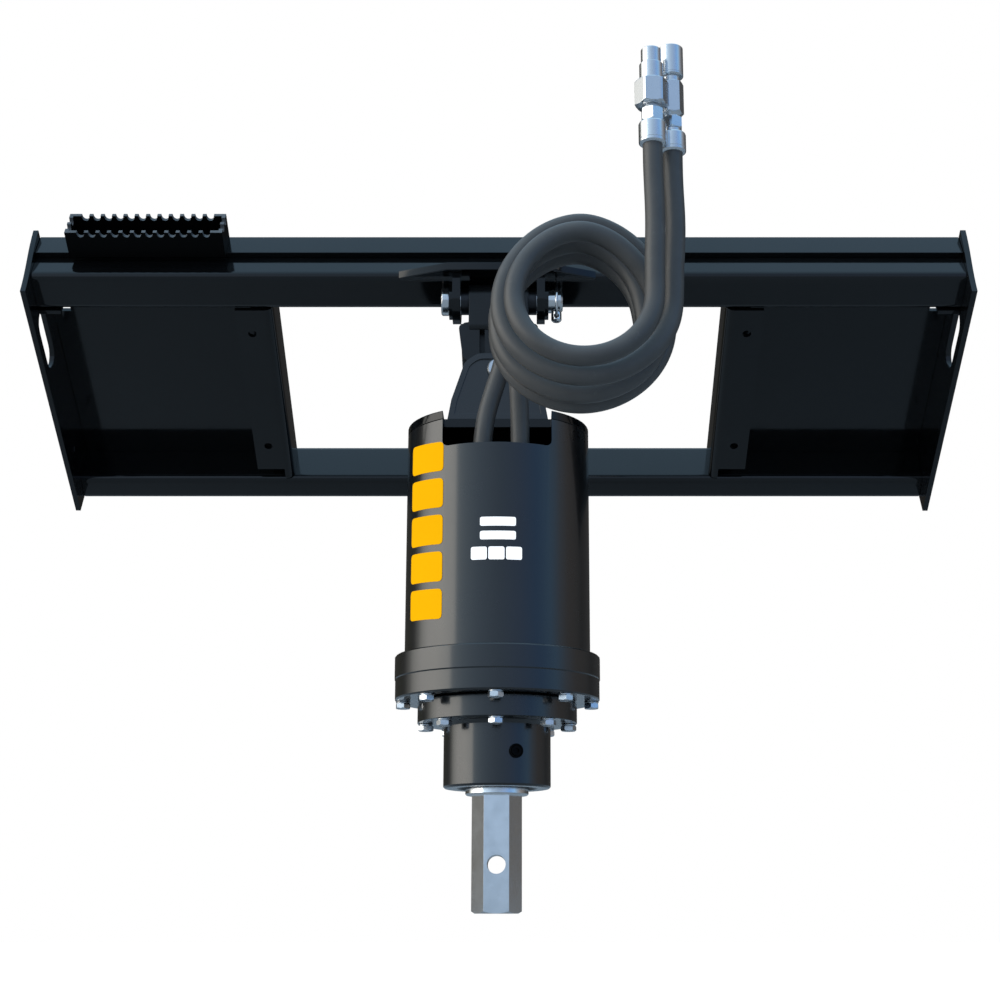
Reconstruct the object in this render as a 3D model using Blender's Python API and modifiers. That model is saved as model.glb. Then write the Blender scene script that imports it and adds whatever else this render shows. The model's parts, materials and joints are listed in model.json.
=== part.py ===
"""Earth auger drive on a universal quick-attach frame.

Metres, +Z up, the operator's machine behind the frame at +Y. The origin is the middle of the
top beam's machine-side face. The frame leans with its top towards the front, and the drive
hangs plumb below it from a two-axis hitch.
"""

from math import acos, asin, atan2, ceil, cos, pi, radians, sin, sqrt, tan

import bmesh
import bpy
from mathutils import Matrix, Vector

# Fits
GAP = 0.0003
PIN_CLEARANCE = 0.0004

# Quick-attach frame, measured in its own leaning plane: depth towards the front, height up it
FRAME_WIDTH = 1.190
FRAME_LEAN = radians(57.6)
SIDE_PLATE = 0.007
SIDE_DEPTH = 0.101
SIDE_ABOVE = 0.025
SIDE_HORN = 0.0457
SIDE_BELOW = 0.356
SIDE_SLOT_SIZE = (0.036, 0.086)
SIDE_SLOT_AT = (0.067, -0.078)
SIDE_HOLE = 0.012
SIDE_HOLE_AT = (0.070, -0.269)
BEAM_SIZE = (0.0725, 0.054)
BEAM_WALL = 0.005
BEAM_CORNER = 0.010
LIP_SIZE = (0.034, 0.008)
RAIL_SIZE = (0.0695, 0.040)
RAIL_BACK = 0.003
RAIL_BOTTOM = 0.361
PANEL_SHEET = 0.006
PANEL_BACK = 0.011
PANEL_BEND = 0.009
WINDOW_HALF = 0.289
FLANGE_WIDTH = 0.049
FLANGE_END = 0.303
FLANGE_HOLE = 0.011
FLANGE_HOLE_IN = 0.030
FLANGE_HOLES_AT = (-0.065, -0.260)
PANEL_NOTCH = (0.023, 0.043)
GUSSET_SIZE = (0.028, 0.006)

# Step tread on the beam's left end
STEP_INSET = 0.053
STEP_LEFT = STEP_INSET - FRAME_WIDTH / 2
STEP_WIDTH = 0.197
STEP_DEPTH = 0.041
STEP_HEIGHT = 0.037
STEP_BACK = 0.003
STEP_SHEET = 0.0035
STEP_TEETH = 12
STEP_PITCH = 0.0143
STEP_TOOTH_RADIUS = 0.0047
TOOTH_SIDES = 10

# Two-axis hitch
HINGE_FRONT = 0.0523
HINGE_BELOW = 0.0777
WING_SHEET = 0.010
WING_UNDER = 0.0513
WING_FRONT_HALF = 0.064
WING_REAR_HALF = 0.122
WING_FRONT = 0.038
EAR_SHEET = 0.010
EAR_INSIDE_HALF = 0.0475
EAR_RADIUS = 0.028
EAR_BOSS = 0.045
EAR_BOSS_OUT = 0.0045
UPPER_PIN = 0.0285
UPPER_HEAD = (0.035, 0.009)
UPPER_HEAD_GAP = 0.0008
UPPER_PIN_END = 0.080
LINCH_INSET = 0.008
LINCH_PIN = 0.008
LINCH_HEAD = (0.013, 0.012)
LINCH_RING_RADIUS = 0.0192
LINCH_WIRE = 0.004
LINCH_EYE_PLAY = 0.0014
LINCH_TAIL_PLAY = 0.0006
LINK_DROP = 0.1056
LINK_BARREL = 0.041
LINK_BARREL_HALF = 0.0372
LINK_BUSH = 0.033
LINK_FOOT = 0.048
LINK_FOOT_HALF = 0.0410
LINK_THICK = 0.034
LINK_FOOT_WAIST = 0.026
LINK_SHOULDER = (0.0500, 0.0345)
LINK_KNEE = (0.0440, 0.0780)
LINK_SLOT = (0.0170, 0.0235, 0.0310, 0.0740)

# Drive, levels below the lower pivot pin
PIVOT_PIN = 0.025
PIVOT_HEAD = (0.038, 0.006)
PIVOT_PIN_END = 0.064
PIVOT_LINCH_REAR = 0.0585
HOOD_EAR_INSIDE = 0.0435
HOOD_EAR_SHEET = 0.0085
HOOD_EAR_HALF = ((0.0605, -0.063), (0.0560, -0.038), (0.0400, 0.0100), (0.0240, 0.0205))
HOOD_EAR_RIM = (0.007, 0.0025)
CAP_TOP = 0.063
CAP_THICK = 0.0104
HOOD_DIAMETER = 0.221
HOOD_WALL = 0.005
HOOD_BOTTOM = 0.3436
CUTOUT_HALF = 0.064
CUTOUT_BOTTOM = 0.107
CUTOUT_CORNER = 0.007
CAP_NOTCH_FRONT = 0.0535
RING_DIAMETER = 0.244
RING_STEP = 0.0272
RING_LOWER_DIAMETER = 0.2425
RING_HEIGHT = 0.0524
RING_BOLT_CIRCLE = 0.226
FLANGE_DIAMETER = 0.1885
FLANGE_THICK = 0.026
FLANGE_BOLT_CIRCLE = 0.1715
HOUSING_DIAMETER = 0.126
HOUSING_HEIGHT = 0.0755
HOUSING_BOTTOM_RECESS = (0.094, 0.004)
BOLT_HEAD = (0.017, 0.0065)
BOLT_WASHER = (0.0205, 0.0016)
BOLT_COUNT = 8
LEVEL_PLUG = 0.0164
LEVEL_PLUG_ANGLE = radians(21.0)
LEVEL_PLUG_ABOVE = 0.049
ADAPTER_DIAMETER = 0.204
ADAPTER_THICK = 0.014
MOTOR_DIAMETER = 0.112
MOTOR_HEIGHT = 0.088
PORT_BLOCK_SIZE = (0.078, 0.058, 0.046)
PORT_FRONT = 0.082
PORT_BLOCK_LIP = 0.0125
PORT_HEX = (0.0253, 0.012)
PORT_FERRULE = 0.0242
SHAFT_COLLAR = (0.074, 0.0115)
HEX_ACROSS_FLATS = 0.0508
HEX_LENGTH = 0.134
HEX_CHAMFER = 0.005
HEX_HOLE = 0.0215
HEX_HOLE_ABOVE = 0.055
SHAFT_JOURNAL = 0.070
SHAFT_JOURNAL_DEPTH = 0.050

# Hoses: half-inch two-wire, in one coil of two hoses side by side
HOSE = 0.0223
COIL_FRONT = Vector((0.096, -0.3423, -0.1759))
COIL_LEAN = radians(11.0)
COIL_INSIDE = 0.0635
COIL_OUTSIDE = 0.1085
COIL_STEP = 0.0885
COIL_NOSE = 0.0125
COIL_NOSE_BACK = 0.0125
COIL_BACK = 0.0995
LEFT_HOSE_POINTS = (
    (-0.0170, -0.1343, -0.3220),
    (-0.0170, -0.1338, -0.2810),
    (-0.0125, -0.1325, -0.2480),
    (-0.0040, -0.1305, -0.2175),
    (0.0045, -0.1300, -0.1900),
    (0.0120, -0.1400, -0.1600),
    (0.0165, -0.1640, -0.1370),
    (0.0190, -0.1960, -0.1290),
)
RIGHT_HOSE_POINTS = (
    (0.0270, -0.1343, -0.3220),
    (0.0270, -0.1360, -0.2810),
    (0.0265, -0.1410, -0.2480),
    (0.0250, -0.1475, -0.2175),
    (0.0230, -0.1515, -0.1900),
    (0.0212, -0.1650, -0.1640),
    (0.0205, -0.1910, -0.1540),
)
LEFT_HOSE_MEETS = (0.0195, -0.1310)
RIGHT_HOSE_MEETS = (0.0205, -0.1545)
LEFT_UPRIGHT = ((0.1727, -0.3423), (0.1757, -0.3423))
RIGHT_UPRIGHT = ((0.1945, -0.3203), (0.2010, -0.3203))
LEFT_UPRIGHT_TOP = -0.0083
RIGHT_UPRIGHT_TOP = -0.0107
FERRULE_LEFT = (0.0290, 0.0350)
FERRULE_RIGHT = (0.0252, 0.0370)
FERRULE_GRIP = 0.0012
FERRULE_BANDS = ((1, 0.12), (0, 0.30), (1, 0.10), (0, 0.30), (2, 0.18))
FERRULE_SIDES = 20
SMALL_HEX = (0.0230, 0.0180)
COUPLER_RING = (0.0262, 0.0090)
MALE_HEX = (0.0345, 0.0290)
MALE_BODY = (0.0260, 0.0200)
MALE_TIP = (0.0226, 0.0190)
FEMALE_HEX = (0.0262, 0.0390)
FEMALE_CORE = (0.0195, 0.0440)
SLEEVE = (0.0256, 0.0360)
SLEEVE_TRAVEL = 0.006

ROUND = 48
SMALL_ROUND = 24

COLOURS = {
    "black_paint": ((0.018, 0.020, 0.022), 0.28, 0.0),
    "black_casting": ((0.020, 0.021, 0.022), 0.45, 0.0),
    "zinc": ((0.62, 0.68, 0.76), 0.26, 1.0),
    "shaft_steel": ((0.52, 0.57, 0.64), 0.30, 1.0),
    "hose_rubber": ((0.045, 0.044, 0.042), 0.50, 0.0),
    "dark_steel": ((0.05, 0.05, 0.055), 0.40, 0.6),
}


def clear_scene():
    """Remove whatever the file opened with."""
    for old in list(bpy.data.objects):
        bpy.data.objects.remove(old, do_unlink=True)


def collection(name):
    """A new collection in the scene."""
    made = bpy.data.collections.new(name)
    bpy.context.scene.collection.children.link(made)
    return made


clear_scene()
PARTS = collection("earth_auger_drive")
CUTTERS = collection("cutters")


def material(name):
    """The named finish, made once."""
    found = bpy.data.materials.get(name)
    if found:
        return found
    colour, roughness, metallic = COLOURS[name]
    made = bpy.data.materials.new(name)
    made.use_nodes = True
    shader = made.node_tree.nodes["Principled BSDF"]
    shader.inputs["Base Color"].default_value = (*colour, 1.0)
    shader.inputs["Roughness"].default_value = roughness
    shader.inputs["Metallic"].default_value = metallic
    made.diffuse_color = (*colour, 1.0)
    return made


def empty(name, place=(0, 0, 0), turn=(0, 0, 0), parent=None):
    """A guide that carries the pieces of one body."""
    made = bpy.data.objects.new(name, None)
    made.location = place
    made.rotation_euler = turn
    made.parent = parent
    PARTS.objects.link(made)
    return made


def put(name, mesh, finish, parent=None, place=(0, 0, 0), turn=(0, 0, 0)):
    """Link a mesh as one sub-part."""
    made = bpy.data.objects.new(name, mesh)
    if finish and not mesh.materials:
        mesh.materials.append(material(finish))
    made.parent = parent
    made.location = place
    made.rotation_euler = turn
    PARTS.objects.link(made)
    return made


def as_cutter(piece):
    """Turn a piece into a cutter, seen as wire and left out of the render."""
    piece.hide_render = True
    piece.display_type = "WIRE"
    PARTS.objects.unlink(piece)
    CUTTERS.objects.link(piece)
    return piece


def boolean(piece, tool, operation="DIFFERENCE"):
    """Cut a tool from a piece, or join it on."""
    step = piece.modifiers.new(operation.lower(), "BOOLEAN")
    step.operation = operation
    step.solver = "EXACT"
    step.object = as_cutter(tool) if tool.name not in CUTTERS.objects else tool
    return piece


def shade(mesh, angle=35):
    """Smooth shading with sharp edges kept."""
    mesh.shade_smooth()
    mesh.set_sharp_from_angle(angle=radians(angle))
    return mesh


def box_mesh(name, low, high):
    """A box between two corners."""
    shape = bmesh.new()
    bmesh.ops.create_cube(shape, size=1.0)
    low, high = Vector(low), Vector(high)
    size = high - low
    bmesh.ops.scale(shape, vec=size, verts=shape.verts)
    bmesh.ops.translate(shape, vec=(low + high) / 2, verts=shape.verts)
    mesh = bpy.data.meshes.new(name)
    shape.to_mesh(mesh)
    shape.free()
    return mesh


def rod_mesh(name, diameter, start, end, sides=SMALL_ROUND, phase=0.0):
    """A straight round or polygonal bar between two points."""
    start, end = Vector(start), Vector(end)
    run = end - start
    turn = run.to_track_quat("Z", "Y").to_matrix().to_4x4()
    shape = bmesh.new()
    bmesh.ops.create_cone(
        shape,
        cap_ends=True,
        segments=sides,
        radius1=diameter / 2,
        radius2=diameter / 2,
        depth=run.length,
        matrix=Matrix.Translation((start + end) / 2) @ turn @ Matrix.Rotation(phase, 4, "Z"),
    )
    mesh = bpy.data.meshes.new(name)
    shape.to_mesh(mesh)
    shape.free()
    return shade(mesh)


def hex_mesh(name, across_flats, start, end):
    """A hexagonal bar with a flat towards the front."""
    return rod_mesh(name, across_flats / cos(pi / 6), start, end, 6, pi / 6)


def turned_mesh(name, profile, sides=ROUND):
    """Spin a profile of (radius, height) points, from the top down, round Z."""
    outline = bpy.data.meshes.new(name + "_profile")
    points = [(radius, 0.0, height) for radius, height in profile]
    edges = [(i, i + 1) for i in range(len(points) - 1)]
    if profile[0][0] > 0 or profile[-1][0] > 0:
        edges.append((len(points) - 1, 0))
    outline.from_pydata(points, edges, [])
    spun = bpy.data.objects.new(name + "_spun", outline)
    PARTS.objects.link(spun)
    screw = spun.modifiers.new("screw", "SCREW")
    screw.steps = sides
    screw.render_steps = sides
    screw.use_merge_vertices = True
    screw.merge_threshold = 0.00001
    screw.use_normal_calculate = True
    return baked(spun)


def baked(piece):
    """The evaluated mesh of a piece, welded, and the piece removed."""
    bpy.context.view_layer.update()
    ready = piece.evaluated_get(bpy.context.evaluated_depsgraph_get())
    mesh = bpy.data.meshes.new_from_object(ready)
    mesh.transform(piece.matrix_world)
    shape = bmesh.new()
    shape.from_mesh(mesh)
    bmesh.ops.remove_doubles(shape, verts=shape.verts, dist=0.000005)
    bmesh.ops.recalc_face_normals(shape, faces=shape.faces)
    shape.to_mesh(mesh)
    shape.free()
    bpy.data.objects.remove(piece, do_unlink=True)
    mesh.materials.clear()
    return shade(mesh)


def plate_mesh(name, outlines, thickness, turn=Matrix.Identity(4)):
    """A flat plate from closed outlines, the first its edge and the others its holes."""
    curve = bpy.data.curves.new(name + "_outline", "CURVE")
    curve.dimensions = "2D"
    curve.fill_mode = "BOTH"
    curve.extrude = thickness / 2
    for points in outlines:
        spline = curve.splines.new("POLY")
        spline.points.add(len(points) - 1)
        spline.use_cyclic_u = True
        for slot, (x, y) in zip(spline.points, points):
            slot.co = (x, y, 0.0, 1.0)
    flat = bpy.data.objects.new(name + "_flat", curve)
    flat.matrix_world = turn
    PARTS.objects.link(flat)
    return baked(flat)


# Turns that stand a flat outline up: its x and y run along the two axes that are named
IN_YZ = Matrix(((0, 0, 1, 0), (1, 0, 0, 0), (0, 1, 0, 0), (0, 0, 0, 1)))
IN_XZ = Matrix(((1, 0, 0, 0), (0, 0, -1, 0), (0, 1, 0, 0), (0, 0, 0, 1)))
IN_XY = Matrix.Identity(4)


def arc(centre, radius, start, end, steps):
    """Points along an arc, both ends included; angles in degrees."""
    found = []
    for i in range(steps + 1):
        angle = radians(start + (end - start) * i / steps)
        found.append((centre[0] + radius * cos(angle), centre[1] + radius * sin(angle)))
    return found


def circle(centre, diameter, steps=SMALL_ROUND):
    """A closed ring of points."""
    return arc(centre, diameter / 2, 0, 360 - 360 / steps, steps - 1)


def rounded(points, radius, steps=4, closed=True):
    """A path whose corners are replaced by arcs; radius is one value or one for each corner."""
    count = len(points)
    found = []
    for i, corner in enumerate(points):
        size = radius[i] if isinstance(radius, (list, tuple)) else radius
        ends = not closed and i in (0, count - 1)
        if ends or size <= 0:
            found.append(tuple(corner))
            continue
        here = Vector(corner)
        back = (Vector(points[i - 1]) - here).normalized()
        ahead = (Vector(points[(i + 1) % count]) - here).normalized()
        half = acos(max(-1.0, min(1.0, back.dot(ahead)))) / 2
        reach = size / tan(half)
        centre = here + (back + ahead).normalized() * (size / sin(half))
        first = here + back * reach - centre
        last = here + ahead * reach - centre
        sweep = atan2(first.x * last.y - first.y * last.x, first.dot(last))
        begin = atan2(first.y, first.x)
        for k in range(steps + 1):
            angle = begin + sweep * k / steps
            found.append((centre.x + size * cos(angle), centre.y + size * sin(angle)))
    return found


def rectangle(low, high):
    """The four corners of an outline box."""
    return [(low[0], low[1]), (high[0], low[1]), (high[0], high[1]), (low[0], high[1])]


def slot_outline(centre, width, height):
    """An upright slot with round ends."""
    reach = (height - width) / 2
    top = arc((centre[0], centre[1] + reach), width / 2, 0, 180, 10)
    bottom = arc((centre[0], centre[1] - reach), width / 2, 180, 360, 10)
    return top + bottom


def joined_mesh(name, meshes):
    """Several closed meshes as one, for a cutter with many teeth."""
    shape = bmesh.new()
    for mesh in meshes:
        shape.from_mesh(mesh)
    mesh = bpy.data.meshes.new(name)
    shape.to_mesh(mesh)
    shape.free()
    return mesh


# The frame leans about X. Its own Y runs to the machine and its own Z runs up the frame.
FRAME = empty("frame_plane", turn=(FRAME_LEAN, 0, 0))
HALF_INSIDE = FRAME_WIDTH / 2 - SIDE_PLATE


def side_plate_outline():
    """Front edge straight, top edge a shallow S up to the horn at the machine side."""
    front, above, horn = -SIDE_DEPTH, SIDE_ABOVE, SIDE_HORN
    top = []
    for i in range(9):
        share = i / 8
        rise = share - sin(2 * pi * share) * 0.06
        top.append((front * (1 - share), above + (horn - above) * rise))
    toe = (front, -SIDE_BELOW)
    heel = (0.0, -SIDE_BELOW)
    return top + rounded([heel, toe], 0.0)


def side_plates():
    """The two end plates, slotted for the hand lever."""
    slot_at = (-SIDE_SLOT_AT[0], SIDE_SLOT_AT[1])
    hole_at = (-SIDE_HOLE_AT[0], SIDE_HOLE_AT[1])
    outlines = [
        side_plate_outline(),
        slot_outline(slot_at, *SIDE_SLOT_SIZE),
        circle(hole_at, SIDE_HOLE, 16),
    ]
    for side, word in ((-1, "left"), (1, "right")):
        mesh = plate_mesh("side_plate", outlines, SIDE_PLATE, IN_YZ)
        middle = side * (FRAME_WIDTH / 2 - SIDE_PLATE / 2)
        put("side_plate_" + word, mesh, "black_paint", FRAME, (middle, 0, 0))


def tube_outlines(low, high, corner, wall):
    """The outer and inner edges of a rectangular hollow section."""
    outer = rounded(rectangle(low, high), corner)
    inner_low = (low[0] + wall, low[1] + wall)
    inner_high = (high[0] - wall, high[1] - wall)
    inner = rounded(rectangle(inner_low, inner_high), max(corner - wall, 0.001))
    return [outer, inner]


def beams():
    """The top beam with its lip, and the lower rail, between the side plates."""
    length = 2 * (HALF_INSIDE - GAP)
    beam_low = (-BEAM_SIZE[0], -BEAM_SIZE[1] / 2)
    beam_high = (0.0, BEAM_SIZE[1] / 2)
    beam = plate_mesh("beam", tube_outlines(beam_low, beam_high, BEAM_CORNER, BEAM_WALL), length, IN_YZ)
    put("top_beam", beam, "black_paint", FRAME)
    lip_low = (-length / 2, -LIP_SIZE[0], beam_high[1] + GAP)
    lip_high = (length / 2, 0.0, beam_high[1] + GAP + LIP_SIZE[1])
    put("top_lip", box_mesh("lip", lip_low, lip_high), "black_paint", FRAME)
    rail_low = (-RAIL_BACK - RAIL_SIZE[0], -RAIL_BOTTOM)
    rail_high = (-RAIL_BACK, -RAIL_BOTTOM + RAIL_SIZE[1])
    rail = plate_mesh("rail", tube_outlines(rail_low, rail_high, BEAM_CORNER, BEAM_WALL), length, IN_YZ)
    put("lower_rail", rail, "black_paint", FRAME)


def folded_outline(path, thickness):
    """The closed edge of a bent sheet whose middle follows a path."""
    left, right = [], []
    for i, point in enumerate(path):
        here = Vector(point)
        before = (here - Vector(path[i - 1])).normalized() if i else None
        after = (Vector(path[i + 1]) - here).normalized() if i + 1 < len(path) else None
        along = (before or after) + (after or before)
        along.normalize()
        across = Vector((-along.y, along.x))
        lean = (before or after).dot(along)
        left.append(tuple(here + across * thickness / 2 / lean))
        right.append(tuple(here - across * thickness / 2 / lean))
    return left + right[::-1]


def back_panel(side, word):
    """One bent sheet: the rear panel, its fold forward at the window and its front flange."""
    rear = -PANEL_BACK - PANEL_SHEET / 2
    front = -BEAM_SIZE[0] + PANEL_SHEET / 2
    inner = WINDOW_HALF + PANEL_SHEET / 2
    path = [
        (side * (HALF_INSIDE - GAP), rear),
        (side * inner, rear),
        (side * inner, front),
        (side * (WINDOW_HALF + FLANGE_WIDTH), front),
    ]
    top = -BEAM_SIZE[1] / 2 - GAP
    bottom = -RAIL_BOTTOM + RAIL_SIZE[1] + GAP
    bent = rounded(path, PANEL_BEND, 4, closed=False)
    mesh = plate_mesh("panel", [folded_outline(bent, PANEL_SHEET)], top - bottom, IN_XY)
    panel = put("back_panel_" + word, mesh, "black_paint", FRAME, (0, 0, (top + bottom) / 2))
    flange_front = -BEAM_SIZE[0]
    for level in FLANGE_HOLES_AT:
        across = side * (WINDOW_HALF + FLANGE_HOLE_IN)
        drill = rod_mesh(
            "flange_drill",
            FLANGE_HOLE,
            (across, flange_front - 0.004, level),
            (across, flange_front + PANEL_SHEET + 0.004, level),
            16,
        )
        boolean(panel, put("flange_drill", drill, None, FRAME))
    low_x, high_x = sorted((side * (inner + PANEL_BEND), side * (WINDOW_HALF + FLANGE_WIDTH + 0.01)))
    trim_low = (low_x, flange_front - 0.005, bottom - 0.005)
    trim_high = (high_x, flange_front + PANEL_SHEET + 0.005, -FLANGE_END)
    boolean(panel, put("flange_trim", box_mesh("trim", trim_low, trim_high), None, FRAME))
    low_x, high_x = sorted((side * (HALF_INSIDE - PANEL_NOTCH[0]), side * (HALF_INSIDE + 0.005)))
    notch_low = (low_x, rear - PANEL_SHEET, top - PANEL_NOTCH[1])
    notch_high = (high_x, rear + PANEL_SHEET, top + 0.005)
    boolean(panel, put("panel_notch", box_mesh("notch", notch_low, notch_high), None, FRAME))


def corner_gusset(side, word):
    """A small plate under the beam's end, in the corner with the side plate."""
    outer = HALF_INSIDE - GAP
    inner = outer - GUSSET_SIZE[0]
    front = -BEAM_SIZE[0]
    rear = -PANEL_BACK - PANEL_SHEET - GAP
    outline = [
        (side * outer, front),
        (side * inner, front),
        (side * inner, (front + rear) / 2),
        (side * (outer - GUSSET_SIZE[0] / 2), rear),
        (side * outer, rear),
    ]
    mesh = plate_mesh("gusset", [outline], GUSSET_SIZE[1], IN_XY)
    level = -BEAM_SIZE[1] / 2 - GAP - GUSSET_SIZE[1] / 2
    put("corner_gusset_" + word, mesh, "black_paint", FRAME, (0, 0, level))


def step_tread():
    """An open box of sheet whose rims are scalloped into teeth for the operator's boot."""
    floor = BEAM_SIZE[1] / 2 + LIP_SIZE[1] + 2 * GAP
    rim = floor + STEP_HEIGHT
    low = (STEP_LEFT, -STEP_BACK - STEP_DEPTH)
    high = (STEP_LEFT + STEP_WIDTH, -STEP_BACK)
    tread = put(
        "step_tread",
        box_mesh("tread", (*low, floor), (*high, rim)),
        "black_paint",
        FRAME,
    )
    hollow_low = (low[0] + STEP_SHEET, low[1] + STEP_SHEET, floor + STEP_SHEET)
    hollow_high = (high[0] - STEP_SHEET, high[1] - STEP_SHEET, rim + 0.01)
    boolean(tread, put("tread_hollow", box_mesh("hollow", hollow_low, hollow_high), None, FRAME))
    middle = STEP_LEFT + STEP_WIDTH / 2
    bites = []
    for i in range(STEP_TEETH):
        across = middle + (i - (STEP_TEETH - 1) / 2) * STEP_PITCH
        start = (across, low[1] - 0.01, rim)
        end = (across, high[1] + 0.01, rim)
        bites.append(rod_mesh("bite", 2 * STEP_TOOTH_RADIUS, start, end, TOOTH_SIDES))
    boolean(tread, put("tread_bites", joined_mesh("bites", bites), None, FRAME))
    end_bites = []
    count = int((STEP_DEPTH - 2 * STEP_SHEET) / STEP_PITCH)
    for i in range(count):
        depth = (low[1] + high[1]) / 2 + (i - (count - 1) / 2) * STEP_PITCH
        start = (low[0] - 0.01, depth, rim)
        end = (high[0] + 0.01, depth, rim)
        end_bites.append(rod_mesh("bite", 2 * STEP_TOOTH_RADIUS, start, end, TOOTH_SIDES))
    boolean(tread, put("tread_end_bites", joined_mesh("bites", end_bites), None, FRAME))


# The hitch hangs from the frame in upright axes, with the upper pin at its own origin.
HITCH = empty("hitch_axis", (0, -HINGE_FRONT, -HINGE_BELOW))


def beam_clearance():
    """The beam's outside with a gap all round, which trims the hitch plates to fit it."""
    low = (-FRAME_WIDTH / 2, -BEAM_SIZE[0] - GAP, -BEAM_SIZE[1] / 2 - GAP)
    high = (FRAME_WIDTH / 2, 0.05, BEAM_SIZE[1] / 2 + 0.02)
    return as_cutter(put("beam_clearance", box_mesh("clearance", low, high), None, FRAME))


def wing_plate(trim):
    """The level plate welded along the beam's front, which carries the hitch ears."""
    underside = HINGE_BELOW - WING_UNDER
    rear = 0.012
    outline = [
        (-WING_FRONT_HALF, -WING_FRONT),
        (WING_FRONT_HALF, -WING_FRONT),
        (WING_REAR_HALF, 0.0),
        (WING_REAR_HALF, rear),
        (-WING_REAR_HALF, rear),
        (-WING_REAR_HALF, 0.0),
    ]
    mesh = plate_mesh("wing", [rounded(outline, [0.004, 0.004, 0, 0, 0, 0], 3)], WING_SHEET, IN_XY)
    plate = put("wing_plate", mesh, "black_paint", HITCH, (0, 0, underside + WING_SHEET / 2))
    boolean(plate, trim)


def hitch_ear(side, word, trim):
    """A hanging lug with a round nose and a boss, bored for the upper pin."""
    top = HINGE_BELOW - WING_UNDER - GAP
    nose = arc((0, 0), EAR_RADIUS, 180, 330, 14)
    outline = [(-EAR_RADIUS, top)] + nose + [(0.035, 0.0058), (0.030, 0.018), (0.010, top)]
    middle = side * (EAR_INSIDE_HALF + EAR_SHEET / 2)
    mesh = plate_mesh("ear", [outline], EAR_SHEET, IN_YZ)
    ear = put("hitch_ear_" + word, mesh, "black_paint", HITCH, (middle, 0, 0))
    outside = EAR_SHEET / 2 + EAR_BOSS_OUT
    boss = rod_mesh("ear_boss", EAR_BOSS, (0, 0, 0), (side * outside, 0, 0), 32)
    boolean(ear, put("ear_boss_" + word, boss, None, HITCH, (middle, 0, 0)), "UNION")
    boolean(ear, trim)
    bore = rod_mesh("ear_bore", UPPER_PIN + 2 * PIN_CLEARANCE, (-0.03, 0, 0), (0.03, 0, 0), 32)
    boolean(ear, put("ear_bore_" + word, bore, None, HITCH, (middle, 0, 0)))


def along_x(mesh):
    """Turn a mesh made round Z so that its top points to +X."""
    mesh.transform(Matrix.Rotation(pi / 2, 4, "Y"))
    return mesh


def along_front(mesh):
    """Turn a mesh made round Z so that its top points to -Y."""
    mesh.transform(Matrix.Rotation(pi / 2, 4, "X"))
    return mesh


def upper_pin():
    """The headed pin, cross-drilled near its chamfered end for the linch pin."""
    boss_face = EAR_INSIDE_HALF + EAR_SHEET + EAR_BOSS_OUT
    head_inside = -(boss_face + UPPER_HEAD_GAP)
    head_outside = head_inside - UPPER_HEAD[1]
    radius, head = UPPER_PIN / 2, UPPER_HEAD[0] / 2
    chamfer = 0.003
    profile = [
        (0.0, UPPER_PIN_END),
        (radius - chamfer, UPPER_PIN_END),
        (radius, UPPER_PIN_END - chamfer),
        (radius, head_inside),
        (head, head_inside),
        (head, head_outside + 0.0015),
        (head - 0.0015, head_outside),
        (0.0, head_outside),
    ]
    pin = put("upper_hinge_pin", along_x(turned_mesh("pin", profile, 32)), "zinc", HITCH)
    across = UPPER_PIN_END - LINCH_INSET
    hole = rod_mesh("linch_hole", LINCH_PIN + 2 * GAP, (across, 0, -0.03), (across, 0, 0.03), 16)
    boolean(pin, put("upper_linch_hole", hole, None, HITCH))


def linch_pin(word, parent, place, pin_diameter, along_hinge_x):
    """The linch pin through a hinge pin's end, head down, and the ring that snaps round that end."""
    seat = pin_diameter / 2 + GAP
    eye_level = seat + LINCH_HEAD[1] / 2
    ring_middle = LINCH_RING_RADIUS - eye_level
    tail = ring_middle + LINCH_RING_RADIUS - LINCH_WIRE / 2 - LINCH_TAIL_PLAY
    radius, head = LINCH_PIN / 2, LINCH_HEAD[0] / 2
    foot = -seat - LINCH_HEAD[1]
    profile = [
        (0.0, tail),
        (radius - 0.0015, tail),
        (radius, tail - 0.002),
        (radius, -seat),
        (head, -seat),
        (head, foot + 0.002),
        (head - 0.002, foot),
        (0.0, foot),
    ]
    body = put(word + "_linch_pin", turned_mesh("linch", profile, 16), "zinc", parent, place)
    reach = Vector((0, 0.02, 0)) if along_hinge_x else Vector((0.02, 0, 0))
    middle = Vector((0, 0, -eye_level + LINCH_EYE_PLAY / 4))
    eye = rod_mesh("eye", LINCH_WIRE + 2 * LINCH_EYE_PLAY, middle - reach, middle + reach, 12)
    boolean(body, put(word + "_linch_eye", eye, None, parent, place))
    ring = torus_mesh("ring", LINCH_RING_RADIUS, LINCH_WIRE / 2, 18, 6)
    ring.transform(Matrix.Rotation(pi / 2, 4, "Y" if along_hinge_x else "X"))
    centre = Vector(place) + Vector((0, 0, ring_middle))
    put(word + "_linch_ring", ring, "zinc", parent, centre)


def torus_mesh(name, ring_radius, wire_radius, around, sides):
    """A round wire ring about Z."""
    profile = bpy.data.meshes.new(name + "_section")
    points = []
    for i in range(sides):
        angle = 2 * pi * i / sides
        points.append((ring_radius + wire_radius * cos(angle), 0.0, -wire_radius * sin(angle)))
    edges = [(i, (i + 1) % sides) for i in range(sides)]
    profile.from_pydata(points, edges, [])
    spun = bpy.data.objects.new(name + "_spun", profile)
    PARTS.objects.link(spun)
    screw = spun.modifiers.new("screw", "SCREW")
    screw.steps = around
    screw.render_steps = around
    screw.use_merge_vertices = True
    screw.merge_threshold = 0.00001
    return baked(spun)


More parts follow.
